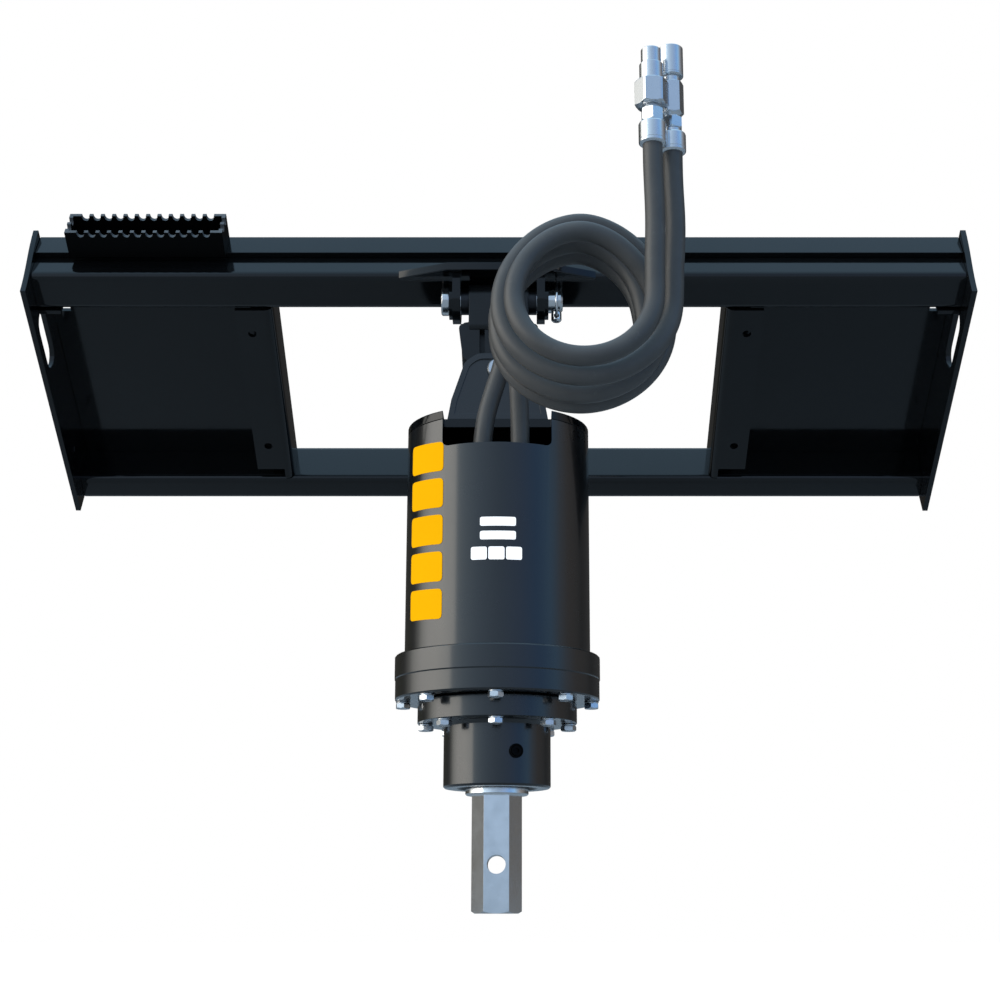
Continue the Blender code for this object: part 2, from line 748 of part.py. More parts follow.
def swing_link():
    """The casting between the two pins: a barrel across, two legs and a foot fore and aft."""
    foot = LINK_FOOT / 2
    shoulder = LINK_SHOULDER
    neck = -LINK_DROP + foot * 0.55
    outline = [
        (-LINK_BARREL_HALF, 0.006),
        (LINK_BARREL_HALF, 0.006),
        (LINK_BARREL_HALF, -shoulder[1]),
        (shoulder[0], -shoulder[1]),
        (LINK_KNEE[0], -LINK_KNEE[1]),
        (LINK_FOOT_WAIST, neck),
        (-LINK_FOOT_WAIST, neck),
        (-LINK_KNEE[0], -LINK_KNEE[1]),
        (-shoulder[0], -shoulder[1]),
        (-LINK_BARREL_HALF, -shoulder[1]),
    ]
    corners = [0.004, 0.004, 0.003, 0.006, 0.010, 0.003]
    edge = rounded(outline, corners + corners[:1:-1], 3)
    windows = []
    for side in (-1, 1):
        near, far = side * LINK_SLOT[0], side * LINK_SLOT[1]
        window = [(near, -LINK_SLOT[2]), (near, -LINK_SLOT[3]), (far, -LINK_SLOT[3]), (far, -LINK_SLOT[2])]
        windows.append(rounded(window[:: side], [0.0025] * 4, 3))
    mesh = plate_mesh("link", [edge] + windows, LINK_THICK, IN_XZ)
    link = put("swing_link", mesh, "black_casting", HITCH)
    ends = ((-LINK_BARREL_HALF, 0, 0), (LINK_BARREL_HALF, 0, 0))
    boolean(link, put("link_barrel", rod_mesh("barrel", LINK_BARREL, *ends, 32), None, HITCH), "UNION")
    low = -LINK_DROP
    ends = ((0, -LINK_FOOT_HALF, low), (0, LINK_FOOT_HALF, low))
    boolean(link, put("link_foot", rod_mesh("foot", LINK_FOOT, *ends, 32), None, HITCH), "UNION")
    ends = ((-0.06, 0, 0), (0.06, 0, 0))
    bore = rod_mesh("bore", LINK_BUSH + 2 * GAP, *ends, 32)
    boolean(link, put("link_upper_bore", bore, None, HITCH))
    ends = ((0, -0.06, low), (0, 0.06, low))
    bore = rod_mesh("bore", PIVOT_PIN + 2 * PIN_CLEARANCE, *ends, 32)
    boolean(link, put("link_lower_bore", bore, None, HITCH))


def link_bush():
    """The steel bush in the barrel, long enough to take up the ears' side play."""
    outer, inner = LINK_BUSH / 2, UPPER_PIN / 2 + PIN_CLEARANCE
    half = EAR_INSIDE_HALF - GAP
    outline = [circle((0, 0), 2 * outer, 32), circle((0, 0), 2 * inner, 32)]
    put("link_bush", plate_mesh("bush", outline, 2 * half, IN_YZ), "dark_steel", HITCH)


# The drive swings on the lower pin, with that pin at its own origin.
DRIVE = empty("drive_axis", (0, 0, -LINK_DROP), parent=HITCH)


def moved_in(points, inset):
    """A convex outline, given the left way round, with each side moved in by inset."""
    count = len(points)
    sides = []
    for i, corner in enumerate(points):
        here, ahead = Vector(corner), Vector(points[(i + 1) % count])
        along = (ahead - here).normalized()
        sides.append((here + Vector((-along.y, along.x)) * inset, along))
    found = []
    for (a, u), (b, v) in zip([sides[-1]] + sides[:-1], sides):
        share = (b - a).cross(v) / u.cross(v)
        found.append(tuple(a + u * share))
    return found


def hood_ear_outline(inset):
    """A broad arch from the cap up round the pivot pin, moved in by inset."""
    half = [(x, z) for x, z in HOOD_EAR_HALF]
    left = [(-x, z) for x, z in reversed(half)]
    outline = moved_in([(-half[0][0], GAP - CAP_TOP), (half[0][0], GAP - CAP_TOP)] + half[1:] + left[:-1], inset)
    return rounded(outline, [0, 0] + [0.016] * (2 * len(half) - 2), 3)


def hood_ears():
    """The front and rear arches that hang from the pivot pin, with a raised edge strap."""
    for side, word in ((-1, "front"), (1, "rear")):
        middle = side * (HOOD_EAR_INSIDE + HOOD_EAR_SHEET / 2)
        mesh = plate_mesh("arch", [hood_ear_outline(0.0)], HOOD_EAR_SHEET, IN_XZ)
        ear = put("hood_ear_" + word, mesh, "black_paint", DRIVE, (0, middle, 0))
        pocket = plate_mesh("pocket", [hood_ear_outline(HOOD_EAR_RIM[0])], 2 * HOOD_EAR_RIM[1], IN_XZ)
        face = middle + side * HOOD_EAR_SHEET / 2
        boolean(ear, put("ear_pocket_" + word, pocket, None, DRIVE, (0, face, 0)))
        bore = rod_mesh("bore", PIVOT_PIN + 2 * PIN_CLEARANCE, (0, -0.02, 0), (0, 0.02, 0), 32)
        boolean(ear, put("hood_ear_bore_" + word, bore, None, DRIVE, (0, middle, 0)))


def pivot_pin():
    """The fore-and-aft pin, headed at the front, with the linch pin in its rear end."""
    radius, head = PIVOT_PIN / 2, PIVOT_HEAD[0] / 2
    seat = HOOD_EAR_INSIDE + HOOD_EAR_SHEET + GAP
    profile = [
        (0.0, PIVOT_PIN_END),
        (radius - 0.0025, PIVOT_PIN_END),
        (radius, PIVOT_PIN_END - 0.0025),
        (radius, -seat),
        (head, -seat),
        (head, -seat - PIVOT_HEAD[1] + 0.0015),
        (head - 0.0015, -seat - PIVOT_HEAD[1]),
        (0.0, -seat - PIVOT_HEAD[1]),
    ]
    pin = put("lower_pivot_pin", along_front(turned_mesh("pivot", profile, 32)), "zinc", DRIVE)
    pin.rotation_euler = (0, 0, pi)
    rear = PIVOT_LINCH_REAR
    hole = rod_mesh("linch_hole", LINCH_PIN + 2 * GAP, (0, rear, -0.03), (0, rear, 0.03), 16)
    boolean(pin, put("lower_linch_hole", hole, None, DRIVE))


def cutout_tool(name, top):
    """The front cut-out's outline as a tool, open upwards."""
    low = (-CUTOUT_HALF, -CUTOUT_BOTTOM)
    high = (CUTOUT_HALF, top)
    radii = [CUTOUT_CORNER, CUTOUT_CORNER, 0, 0]
    mesh = plate_mesh("cutout", [rounded(rectangle(low, high), radii, 4)], HOOD_DIAMETER, IN_XZ)
    middle = -CAP_NOTCH_FRONT - HOOD_DIAMETER / 2
    return put(name, mesh, None, DRIVE, (0, middle, 0))


def hood():
    """The rolled hood with its front cut-out, and the cap plate that the ears stand on."""
    outer = HOOD_DIAMETER / 2
    inner = outer - HOOD_WALL
    top = -CAP_TOP - CAP_THICK - GAP
    wall = [(outer, top), (outer, -HOOD_BOTTOM), (inner, -HOOD_BOTTOM), (inner, top)]
    shell = put("hood_shell", turned_mesh("hood", wall, 64), "black_paint", DRIVE)
    boolean(shell, cutout_tool("hood_cutout", 0.0))
    rim = [(outer - 0.001, -CAP_TOP), (outer, -CAP_TOP - 0.001), (outer, -CAP_TOP - CAP_THICK)]
    profile = [(0.0, -CAP_TOP)] + rim + [(0.0, -CAP_TOP - CAP_THICK)]
    cap = put("hood_cap", turned_mesh("cap", profile, 64), "black_paint", DRIVE)
    boolean(cap, cutout_tool("cap_cutout", 0.0))


def gearbox():
    """Adapter, ring-gear housing and output housing, stacked below the hood."""
    top = -HOOD_BOTTOM - GAP
    ring = RING_DIAMETER / 2
    lower = RING_LOWER_DIAMETER / 2
    seat = HOOD_DIAMETER / 2 + 0.002
    profile = [
        (0.0, top),
        (ring - 0.0015, top),
        (ring, top - 0.0015),
        (ring, top - RING_STEP),
        (lower, top - RING_STEP - 0.0008),
        (lower, top - RING_HEIGHT + 0.0015),
        (lower - 0.0015, top - RING_HEIGHT),
        (0.0, top - RING_HEIGHT),
    ]
    if seat > ring:
        profile[1] = (seat, top)
    put("ring_gear_housing", turned_mesh("ring", profile, 48), "black_paint", DRIVE)
    level = top - RING_HEIGHT - GAP
    flange, body = FLANGE_DIAMETER / 2, HOUSING_DIAMETER / 2
    recess, deep = HOUSING_BOTTOM_RECESS[0] / 2, HOUSING_BOTTOM_RECESS[1]
    foot = level - FLANGE_THICK - HOUSING_HEIGHT
    bore = SHAFT_JOURNAL / 2 + GAP
    blind = foot + SHAFT_JOURNAL_DEPTH + GAP
    profile = [
        (0.0, level),
        (flange - 0.0015, level),
        (flange, level - 0.0015),
        (flange, level - FLANGE_THICK),
        (body + 0.004, level - FLANGE_THICK),
        (body, level - FLANGE_THICK - 0.004),
        (body, foot + 0.002),
        (body - 0.002, foot),
        (recess, foot),
        (recess - 0.001, foot + deep),
        (bore, foot + deep),
        (bore, blind),
        (0.0, blind),
    ]
    put("output_housing", turned_mesh("housing", profile, 40), "black_paint", DRIVE)
    bolt_ring("ring_bolt", RING_BOLT_CIRCLE, top - RING_HEIGHT)
    bolt_ring("flange_bolt", FLANGE_BOLT_CIRCLE, level - FLANGE_THICK)
    angle = LEVEL_PLUG_ANGLE
    plug_level = foot + LEVEL_PLUG_ABOVE
    outward = Vector((sin(angle), -cos(angle), 0))
    start = outward * (body + GAP) + Vector((0, 0, plug_level))
    plug = rod_mesh("plug", LEVEL_PLUG, start, start + outward * 0.0025, 20)
    level_plug = put("level_plug", plug, "dark_steel", DRIVE)
    socket = rod_mesh("socket", LEVEL_PLUG * 0.5, start + outward * 0.001, start + outward * 0.02, 6)
    boolean(level_plug, put("plug_socket", socket, None, DRIVE))
    adapter_top = -HOOD_BOTTOM + ADAPTER_THICK
    adapter = [
        (0.0, adapter_top),
        (ADAPTER_DIAMETER / 2 - 0.001, adapter_top),
        (ADAPTER_DIAMETER / 2, adapter_top - 0.001),
        (ADAPTER_DIAMETER / 2, -HOOD_BOTTOM),
        (0.0, -HOOD_BOTTOM),
    ]
    put("gearbox_adapter", turned_mesh("adapter", adapter, 48), "black_casting", DRIVE)


def bolt_ring(name, pitch_circle, seat):
    """Hex bolts under a flange, heads down, the first towards the front."""
    for i in range(BOLT_COUNT):
        angle = 2 * pi * i / BOLT_COUNT - pi / 2
        across = pitch_circle / 2 * cos(angle)
        along = pitch_circle / 2 * sin(angle)
        top = seat - GAP
        under = top - BOLT_WASHER[1]
        bolt = put(
            name + "_" + str(i + 1),
            rod_mesh("washer", BOLT_WASHER[0], (0, 0, top), (0, 0, under), 16),
            "zinc",
            DRIVE,
            (across, along, 0),
        )
        head = hex_mesh("head", BOLT_HEAD[0], (0, 0, under + 0.0005), (0, 0, under - BOLT_HEAD[1]))
        boolean(bolt, put(name + "_head", head, None, DRIVE, (across, along, 0)), "UNION")


def motor():
    """The hydraulic motor on the adapter, with its port block and two fittings to the front."""
    base = -HOOD_BOTTOM + ADAPTER_THICK + GAP
    radius = MOTOR_DIAMETER / 2
    top = base + MOTOR_HEIGHT
    profile = [(0.0, top), (radius - 0.004, top), (radius, top - 0.004)]
    for share in (0.36, 0.66):
        level = base + MOTOR_HEIGHT * share
        groove = [(radius, level + 0.0015), (radius - 0.0015, level), (radius, level - 0.0015)]
        profile[3:3] = groove
    profile += [(radius, base), (0.0, base)]
    body = put("hydraulic_motor", turned_mesh("motor", profile, 32), "black_casting", DRIVE)
    half, deep, tall = PORT_BLOCK_SIZE[0] / 2, PORT_BLOCK_SIZE[1], PORT_BLOCK_SIZE[2]
    front = -PORT_FRONT - PORT_BLOCK_LIP
    low = (-half, front, top - tall)
    high = (half, front + deep, top - 0.002)
    boolean(body, put("port_block", box_mesh("block", low, high), None, DRIVE), "UNION")
    for word, points in (("left", LEFT_HOSE_POINTS), ("right", RIGHT_HOSE_POINTS)):
        start = local_to_drive(points[0])
        across, along = start.x, start.y
        seat = top - 0.002 + GAP
        ends = ((across, along, seat), (across, along, seat + PORT_HEX[1]))
        mesh = hex_mesh("fitting", PORT_HEX[0], *ends)
        fitting = put("port_fitting_" + word, mesh, "zinc", DRIVE)
        shell = rod_mesh(
            "port_ferrule",
            PORT_FERRULE,
            (across, along, seat + PORT_HEX[1] - 0.0005),
            (across, along, start.z - GAP),
            20,
        )
        boolean(fitting, put("port_ferrule_" + word, shell, None, DRIVE), "UNION")


def local_to_drive(point):
    """A world point in the drive's own frame."""
    return Vector(point) - Vector((0, -HINGE_FRONT, -HINGE_BELOW - LINK_DROP))


# The output shaft turns about the drive's upright axis.
OUTPUT = empty("output_axis", parent=DRIVE)


def output_shaft():
    """The hexagon shaft with its collar and the journal that runs in the housing."""
    housing_foot = -HOOD_BOTTOM - 2 * GAP - RING_HEIGHT - FLANGE_THICK - HOUSING_HEIGHT
    collar_radius = SHAFT_COLLAR[0] / 2
    journal = SHAFT_JOURNAL / 2 - GAP
    collar_top = housing_foot + HOUSING_BOTTOM_RECESS[1] - GAP
    collar_foot = collar_top - SHAFT_COLLAR[1]
    profile = [
        (0.0, housing_foot + SHAFT_JOURNAL_DEPTH - GAP),
        (journal - 0.001, housing_foot + SHAFT_JOURNAL_DEPTH - GAP),
        (journal, housing_foot + SHAFT_JOURNAL_DEPTH - 0.001 - GAP),
        (journal, collar_top),
        (collar_radius, collar_top),
        (collar_radius, collar_foot + 0.0015),
        (collar_radius - 0.0015, collar_foot),
        (0.0, collar_foot),
    ]
    shaft = put("output_shaft", turned_mesh("shaft", profile, 40), "shaft_steel", OUTPUT)
    low = collar_foot - HEX_LENGTH
    bar = hex_mesh("hex", HEX_ACROSS_FLATS, (0, 0, collar_foot + 0.001), (0, 0, low))
    tool = put("hex_bar", bar, None, OUTPUT)
    corner = HEX_ACROSS_FLATS / cos(pi / 6) / 2
    cone = [
        (0.0, collar_foot + 0.01),
        (corner + 0.004, collar_foot + 0.01),
        (corner + 0.004, low + HEX_CHAMFER),
        (corner - 0.004, low),
        (0.0, low),
    ]
    boolean(tool, put("hex_nose", turned_mesh("nose", cone, 32), None, OUTPUT), "INTERSECT")
    boolean(shaft, tool, "UNION")
    level = low + HEX_HOLE_ABOVE
    hole = rod_mesh("cross_hole", HEX_HOLE, (0, -0.05, level), (0, 0.05, level), 24)
    boolean(shaft, put("hex_cross_hole", hole, None, OUTPUT))


def smooth_route(points, spacing):
    """Points every so often along one smooth curve through a route's own points."""
    route = [Vector(p) for p in points]
    ends = [route[0] * 2 - route[1]] + route + [route[-1] * 2 - route[-2]]
    found = [route[0]]
    for i in range(len(route) - 1):
        a, b, c, d = ends[i : i + 4]
        steps = max(1, ceil((c - b).length / spacing))
        for k in range(1, steps + 1):
            t = k / steps
            bend = (2 * b + (c - a) * t + (2 * a - 5 * b + 4 * c - d) * t**2) / 2
            found.append(bend + (3 * b - a - 3 * c + d) * t**3 / 2)
    return found


def hose_tube(name, points):
    """A plain hose along points that are given in world metres."""
    curve = bpy.data.curves.new(name, "CURVE")
    curve.dimensions = "3D"
    curve.bevel_depth = HOSE / 2
    curve.bevel_resolution = 2
    curve.use_fill_caps = True
    spline = curve.splines.new("POLY")
    spline.points.add(len(points) - 1)
    for slot, point in zip(spline.points, points):
        slot.co = (*point, 1.0)
    tube = bpy.data.objects.new(name + "_curve", curve)
    PARTS.objects.link(tube)
    return put(name, baked(tube), "hose_rubber")


def coil_point(x, z, along):
    """The world point at x and z on the plane that lies this far along the coil's axis."""
    lean = COIL_LEAN
    y = COIL_FRONT.y + (along + (z - COIL_FRONT.z) * sin(lean)) / cos(lean)
    return Vector((x, y, z))


def coil_mesh(name, margin=0.0):
    """The outside of the coiled hoses: the inner turn stands forward of the others."""
    inside, outside, step = COIL_INSIDE - margin, COIL_OUTSIDE + margin, COIL_STEP + margin
    nose, back = COIL_NOSE + margin, COIL_BACK + margin
    round_off = HOSE * 0.3
    profile = [
        (step - round_off, nose),
        (step, nose - round_off),
        (step, -COIL_NOSE_BACK + 0.004),
        (outside - round_off, -COIL_NOSE_BACK),
        (outside, -COIL_NOSE_BACK - round_off),
        (outside, -back + round_off),
        (outside - round_off, -back),
        (inside + round_off, -back),
        (inside, -back + round_off),
        (inside, nose - round_off),
        (inside + round_off, nose),
    ]
    return turned_mesh(name, profile, 32)


def hoses():
    """The coil and the four hose runs outside it, each ending a gap short of what it meets."""
    lean = (pi / 2 - COIL_LEAN, 0, 0)
    put("hose_coil", coil_mesh("coil"), "hose_rubber", None, COIL_FRONT, lean)
    wound = put("coil_clearance", coil_mesh("coil_tool", GAP), "hose_rubber", None, COIL_FRONT, lean)
    spacing = HOSE * 0.9
    pairs = (
        ("hose_left_lower", LEFT_HOSE_POINTS, LEFT_HOSE_MEETS),
        ("hose_right_lower", RIGHT_HOSE_POINTS, RIGHT_HOSE_MEETS),
    )
    for name, points, (x, z) in pairs:
        meets = coil_point(x, z, COIL_BACK + GAP)
        before = meets + Vector((0, cos(COIL_LEAN), -sin(COIL_LEAN))) * HOSE * 0.4
        port = Vector(points[0])
        above = port + Vector((0, 0, HOSE * 0.4))
        hose_tube(name, [port] + smooth_route((above,) + points[1:] + (before,), spacing) + [meets])
    uprights = (
        ("hose_left_upper", LEFT_UPRIGHT, LEFT_UPRIGHT_TOP, COIL_STEP),
        ("hose_right_upper", RIGHT_UPRIGHT, RIGHT_UPRIGHT_TOP, COIL_OUTSIDE),
    )
    for name, (foot, head), top, seat in uprights:
        nearest = foot[0] - HOSE / 2 - COIL_FRONT.x
        along = max(0.0, foot[1] - COIL_FRONT.y)
        middle = COIL_FRONT.z - along * sin(COIL_LEAN)
        bottom = middle + sqrt(seat**2 - nearest**2) - HOSE
        start = Vector((*foot, bottom))
        end = Vector((*head, top - GAP))
        before = end - Vector((0, 0, HOSE))
        tube = hose_tube(name, smooth_route((start, start.lerp(before, 0.5), before), 0.05) + [end])
        boolean(tube, wound)


def stack(name, finish, place, pieces):
    """Turned and hexagonal lengths on one upright axis, joined from the bottom up."""
    level = 0.0
    first = None
    overlap = 0.0005
    for diameter, length, sides in pieces:
        low = level - (overlap if first else 0.0)
        ends = ((0, 0, low), (0, 0, level + length))
        if sides == 6:
            mesh = hex_mesh("length", diameter, *ends)
        else:
            mesh = rod_mesh("length", diameter, *ends, sides)
        if first is None:
            first = put(name, mesh, finish, None, place)
        else:
            boolean(first, put(name + "_length", mesh, None, None, place), "UNION")
        level += length
    return first, level


def couplers():
    """Crimped ferrules and the male and female quick couplers on the hose ends."""
    ends = (
        ("left", LEFT_UPRIGHT, LEFT_UPRIGHT_TOP, FERRULE_LEFT),
        ("right", RIGHT_UPRIGHT, RIGHT_UPRIGHT_TOP, FERRULE_RIGHT),
    )
    for word, (_, head), top, (diameter, length) in ends:
        place = Vector((*head, top))
        grip = FERRULE_GRIP
        bands = [
            (diameter - steps * grip, length * share, FERRULE_SIDES)
            for steps, share in FERRULE_BANDS
        ]
        stack("hose_ferrule_" + word, "zinc", place, bands)
        above = place + Vector((0, 0, length + GAP))
        small = (min(SMALL_HEX[0], diameter), SMALL_HEX[1], 6)
        ring = (min(COUPLER_RING[0], diameter + 0.001), COUPLER_RING[1], 24)
        if word == "left":
            pieces = [small, ring, (*MALE_HEX, 6), (*MALE_BODY, 24), (*MALE_TIP, 24)]
            stack("coupler_male", "zinc", above, pieces)
            continue
        pieces = [small, ring, (*FEMALE_HEX, 6), (*FEMALE_CORE, 24)]
        core, height = stack("coupler_female", "zinc", above, pieces)
        foot = height - FEMALE_CORE[1] + SLEEVE_TRAVEL + GAP
        bore = FEMALE_CORE[0] / 2 + GAP
        outer = SLEEVE[0] / 2
        profile = [
            (bore, foot + SLEEVE[1]),
            (outer - 0.001, foot + SLEEVE[1]),
            (outer, foot + SLEEVE[1] - 0.001),
            (outer, foot + SLEEVE[1] * 0.7),
            (outer - 0.001, foot + SLEEVE[1] * 0.66),
            (outer - 0.001, foot + SLEEVE[1] * 0.3),
            (outer, foot + SLEEVE[1] * 0.26),
            (outer, foot),
            (bore, foot),
        ]
        put("coupler_sleeve", turned_mesh("sleeve", profile, 24), "zinc", None, above)


side_plates()
beams()
for hand, label in ((-1, "left"), (1, "right")):
    back_panel(hand, label)
    corner_gusset(hand, label)
step_tread()
TRIM = beam_clearance()
wing_plate(TRIM)
hitch_ear(-1, "left", TRIM)
hitch_ear(1, "right", TRIM)
upper_pin()
linch_pin("upper", HITCH, (UPPER_PIN_END - LINCH_INSET, 0, 0), UPPER_PIN, True)
swing_link()
link_bush()
hood_ears()
pivot_pin()
linch_pin("lower", DRIVE, (0, PIVOT_LINCH_REAR, 0), PIVOT_PIN, False)
hood()
gearbox()
motor()
output_shaft()
hoses()
couplers()
bpy.context.view_layer.update()
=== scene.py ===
"""Looks of an earth auger drive on its quick-attach frame.

Metres and +Z up. The camera, the finishes, the made pieces that stand in for plain solids (hoses,
couplers, bolts, rings, step, hitch plates, plug), the films on the hood, the floor and the light.
"""

import json
from math import ceil, cos, pi, radians, sin, tau

import bmesh
import bpy
from mathutils import Matrix, Vector


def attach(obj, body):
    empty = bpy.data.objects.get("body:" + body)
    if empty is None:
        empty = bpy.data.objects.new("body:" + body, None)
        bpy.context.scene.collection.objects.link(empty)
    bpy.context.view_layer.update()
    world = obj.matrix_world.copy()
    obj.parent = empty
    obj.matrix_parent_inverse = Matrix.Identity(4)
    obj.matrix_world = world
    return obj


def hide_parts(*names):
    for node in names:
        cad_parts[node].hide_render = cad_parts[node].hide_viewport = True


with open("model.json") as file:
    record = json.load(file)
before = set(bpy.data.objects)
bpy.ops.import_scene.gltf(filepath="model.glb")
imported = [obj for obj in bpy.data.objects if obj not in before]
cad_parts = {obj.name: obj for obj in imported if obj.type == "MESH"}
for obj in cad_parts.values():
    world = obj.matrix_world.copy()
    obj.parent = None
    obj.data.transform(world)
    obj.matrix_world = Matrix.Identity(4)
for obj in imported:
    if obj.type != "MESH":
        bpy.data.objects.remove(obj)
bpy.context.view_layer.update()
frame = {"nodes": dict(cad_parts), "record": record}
nodes = frame["nodes"]

# Places and sizes shared with the solids, in metres
DRIVE_AXIS = Vector((0.0, -0.0523, 0.0))
HOOD_RADIUS = 0.1105
FRAME_LEAN = radians(57.6)
FLOOR_HEIGHT = -1.0
STACK_GAP = Vector((0, 0, 0.0003))

# The hoses' thickness and the front middle of their coil, which leans back from upright
HOSE = 0.0223
COIL_FRONT = Vector((0.096, -0.3423, -0.1759))
COIL_LEAN = radians(11.0)
COIL_RISE = 0.13

# The step in the frame's own leaning plane: two corners, its sheet and the bites in its rims
STEP_LOW, STEP_HIGH = (-0.542, -0.044, 0.0356), (-0.345, -0.003, 0.0726)
STEP_SHEET = 0.0048
STEP_PITCH = 0.0143
STEP_BITE_HALF, STEP_BITE_DEPTH = 0.0048, 0.0072
STEP_LONG_BITES, STEP_SHORT_BITES = 12, 2

# Bolts: across the flats, head with washer, washer across, and how far in from the solid's place
BOLTS_ROUND = 8
BOLT_HEAD = 0.0160
BOLT_DEPTH = 0.0080
BOLT_WASHER = 0.0176
BOLT_INWARD = 0.0016

# Hose ends: the foot of each ferrule, then its radius and height
LEFT_FERRULE_FOOT = Vector((0.1732, -0.3423, -0.0020))
RIGHT_FERRULE_FOOT = Vector((0.1971, -0.3203, -0.0023))
LEFT_FERRULE = (0.0153, 0.0260)
RIGHT_FERRULE = (0.0150, 0.0235)
FEMALE_TALL, SLEEVE_FOOT = 0.1035, 0.0680
SLEEVE_OUTER, SLEEVE_BORE, SLEEVE_TALL = 0.0138, 0.0102, 0.0360

# Films: width of one bent strip, and how far their faces lie off the hood
FILM_STRIP = 0.002
FILM_REACH = (0.0001, 0.0005)

# The level plug: turned from the front, out from the drive's axis, height
PLUG_TURN, PLUG_REACH, PLUG_HEIGHT = radians(21), 0.0633, -0.6424

# The hitch: heights of its two hinges, the wing plate's two faces, the link's block and rear plate
HINGE_HEIGHT = -0.0777
PIVOT_HEIGHT = -0.1833
WING_FACES = (-0.0513, -0.0413)
LINK_BLOCK_HALF, LINK_BLOCK_ROUND = 0.0368, 0.0212
LINK_REAR_FACES = (-0.0560, -0.0400)

# Edges sharper than this angle are rounded; flatter ones are shaded smooth
ROUNDED_ANGLE = radians(35)
SMOOTH_ANGLE = radians(32)
PLATE_EDGE = 0.0012
CASTING_EDGE = 0.0015
SOLID_EDGE = 0.0008

scene = bpy.context.scene
scene.view_settings.view_transform = "Standard"


# Camera: a square picture, taken from in front and a little below the frame
def photo_camera():
    data = bpy.data.cameras.new("photo_camera")
    data.sensor_width = 36.0
    data.lens = 61.2
    data.shift_x = -0.026
    camera = bpy.data.objects.new("photo_camera", data)
    camera.location = (0.034, -2.065, -0.824)
    looking_up = 13.7
    camera.rotation_euler = (radians(90 + looking_up), 0, 0)
    scene.collection.objects.link(camera)
    scene.camera = camera


photo_camera()


# Shared shader groups
def new_group(name, inputs, outputs):
    """A node group with named sockets: each input is (name, kind, value)."""
    group = bpy.data.node_groups.new(name, "ShaderNodeTree")
    for label, kind, value in inputs:
        made = group.interface.new_socket(name=label, in_out="INPUT", socket_type=kind)
        made.default_value = value
    for label, kind in outputs:
        group.interface.new_socket(name=label, in_out="OUTPUT", socket_type=kind)
    start = group.nodes.new("NodeGroupInput")
    end = group.nodes.new("NodeGroupOutput")
    return group, start.outputs, end.inputs


def noise(tree, where, scale, detail=4.0, rough=0.55):
    made = tree.nodes.new("ShaderNodeTexNoise")
    made.inputs["Detail"].default_value = detail
    made.inputs["Roughness"].default_value = rough
    made.inputs["Scale"].default_value = scale
    tree.links.new(where, made.inputs["Vector"])
    return made.outputs["Fac"]


def ramp(tree, value, low, high, low_out=0.0, high_out=1.0):
    made = tree.nodes.new("ShaderNodeMapRange")
    made.inputs["From Min"].default_value = low
    made.inputs["From Max"].default_value = high
    made.inputs["To Min"].default_value = low_out
    made.inputs["To Max"].default_value = high_out
    tree.links.new(value, made.inputs["Value"])
    return made.outputs["Result"]


def feed(tree, socket, value):
    """Links another node's output to the socket, or sets a plain value on it."""
    if hasattr(value, "is_output"):
        tree.links.new(value, socket)
    else:
        socket.default_value = value


def math_node(tree, operation, a, b):
    made = tree.nodes.new("ShaderNodeMath")
    made.operation = operation
    feed(tree, made.inputs[0], a)
    feed(tree, made.inputs[1], b)
    return made.outputs[0]


def mix_colour(tree, share, a, b):
    made = tree.nodes.new("ShaderNodeMix")
    made.data_type = "RGBA"
    feed(tree, made.inputs[0], share)
    feed(tree, made.inputs[6], a)
    feed(tree, made.inputs[7], b)
    return made.outputs[2]


def object_place(tree):
    return tree.nodes.new("ShaderNodeTexCoord").outputs["Object"]


LOOK_OUTPUTS = (
    ("Colour", "NodeSocketColor"),
    ("Roughness", "NodeSocketFloat"),
    ("Height", "NodeSocketFloat"),
)


def sprayed_paint_group():
    """Paint off a spray gun: faint mottling, orange peel, dust on faces that look up."""
    group, given, out = new_group(
        "sprayed_paint",
        (
            ("Paint", "NodeSocketColor", (0.01, 0.012, 0.014, 1)),
            ("Thin Paint", "NodeSocketColor", (0.02, 0.023, 0.026, 1)),
            ("Gloss", "NodeSocketFloat", 0.18),
            ("Dust", "NodeSocketFloat", 0.1),
            ("Peel", "NodeSocketFloat", 0.06),
        ),
        LOOK_OUTPUTS,
    )
    place = object_place(group)
    mottle = noise(group, place, 9.0, 5.0)
    grain = noise(group, place, 420.0, 2.0)
    specks = ramp(group, noise(group, place, 1500.0, 1.0), 0.66, 0.74)
    normal = group.nodes.new("ShaderNodeNewGeometry").outputs["Normal"]
    apart = group.nodes.new("ShaderNodeSeparateXYZ")
    group.links.new(normal, apart.inputs[0])
    upward = ramp(group, apart.outputs["Z"], 0.35, 1.0)
    patchy = math_node(group, "MULTIPLY", upward, mottle)
    settled = math_node(group, "MULTIPLY", patchy, given["Dust"])
    body = mix_colour(group, ramp(group, mottle, 0.35, 0.7), given["Paint"], given["Thin Paint"])
    specked = math_node(group, "MULTIPLY", specks, given["Dust"])
    speckled = mix_colour(group, specked, body, (0.09, 0.09, 0.085, 1))
    dusty = mix_colour(group, settled, speckled, (0.16, 0.155, 0.145, 1))
    group.links.new(dusty, out["Colour"])
    smear = ramp(group, noise(group, place, 24.0, 6.0), 0.3, 0.75, 0.0, 0.07)
    rough = math_node(group, "ADD", given["Gloss"], smear)
    rough = math_node(group, "ADD", rough, math_node(group, "MULTIPLY", settled, 0.6))
    group.links.new(rough, out["Roughness"])
    peel = math_node(group, "MULTIPLY", grain, given["Peel"])
    group.links.new(peel, out["Height"])
    return group


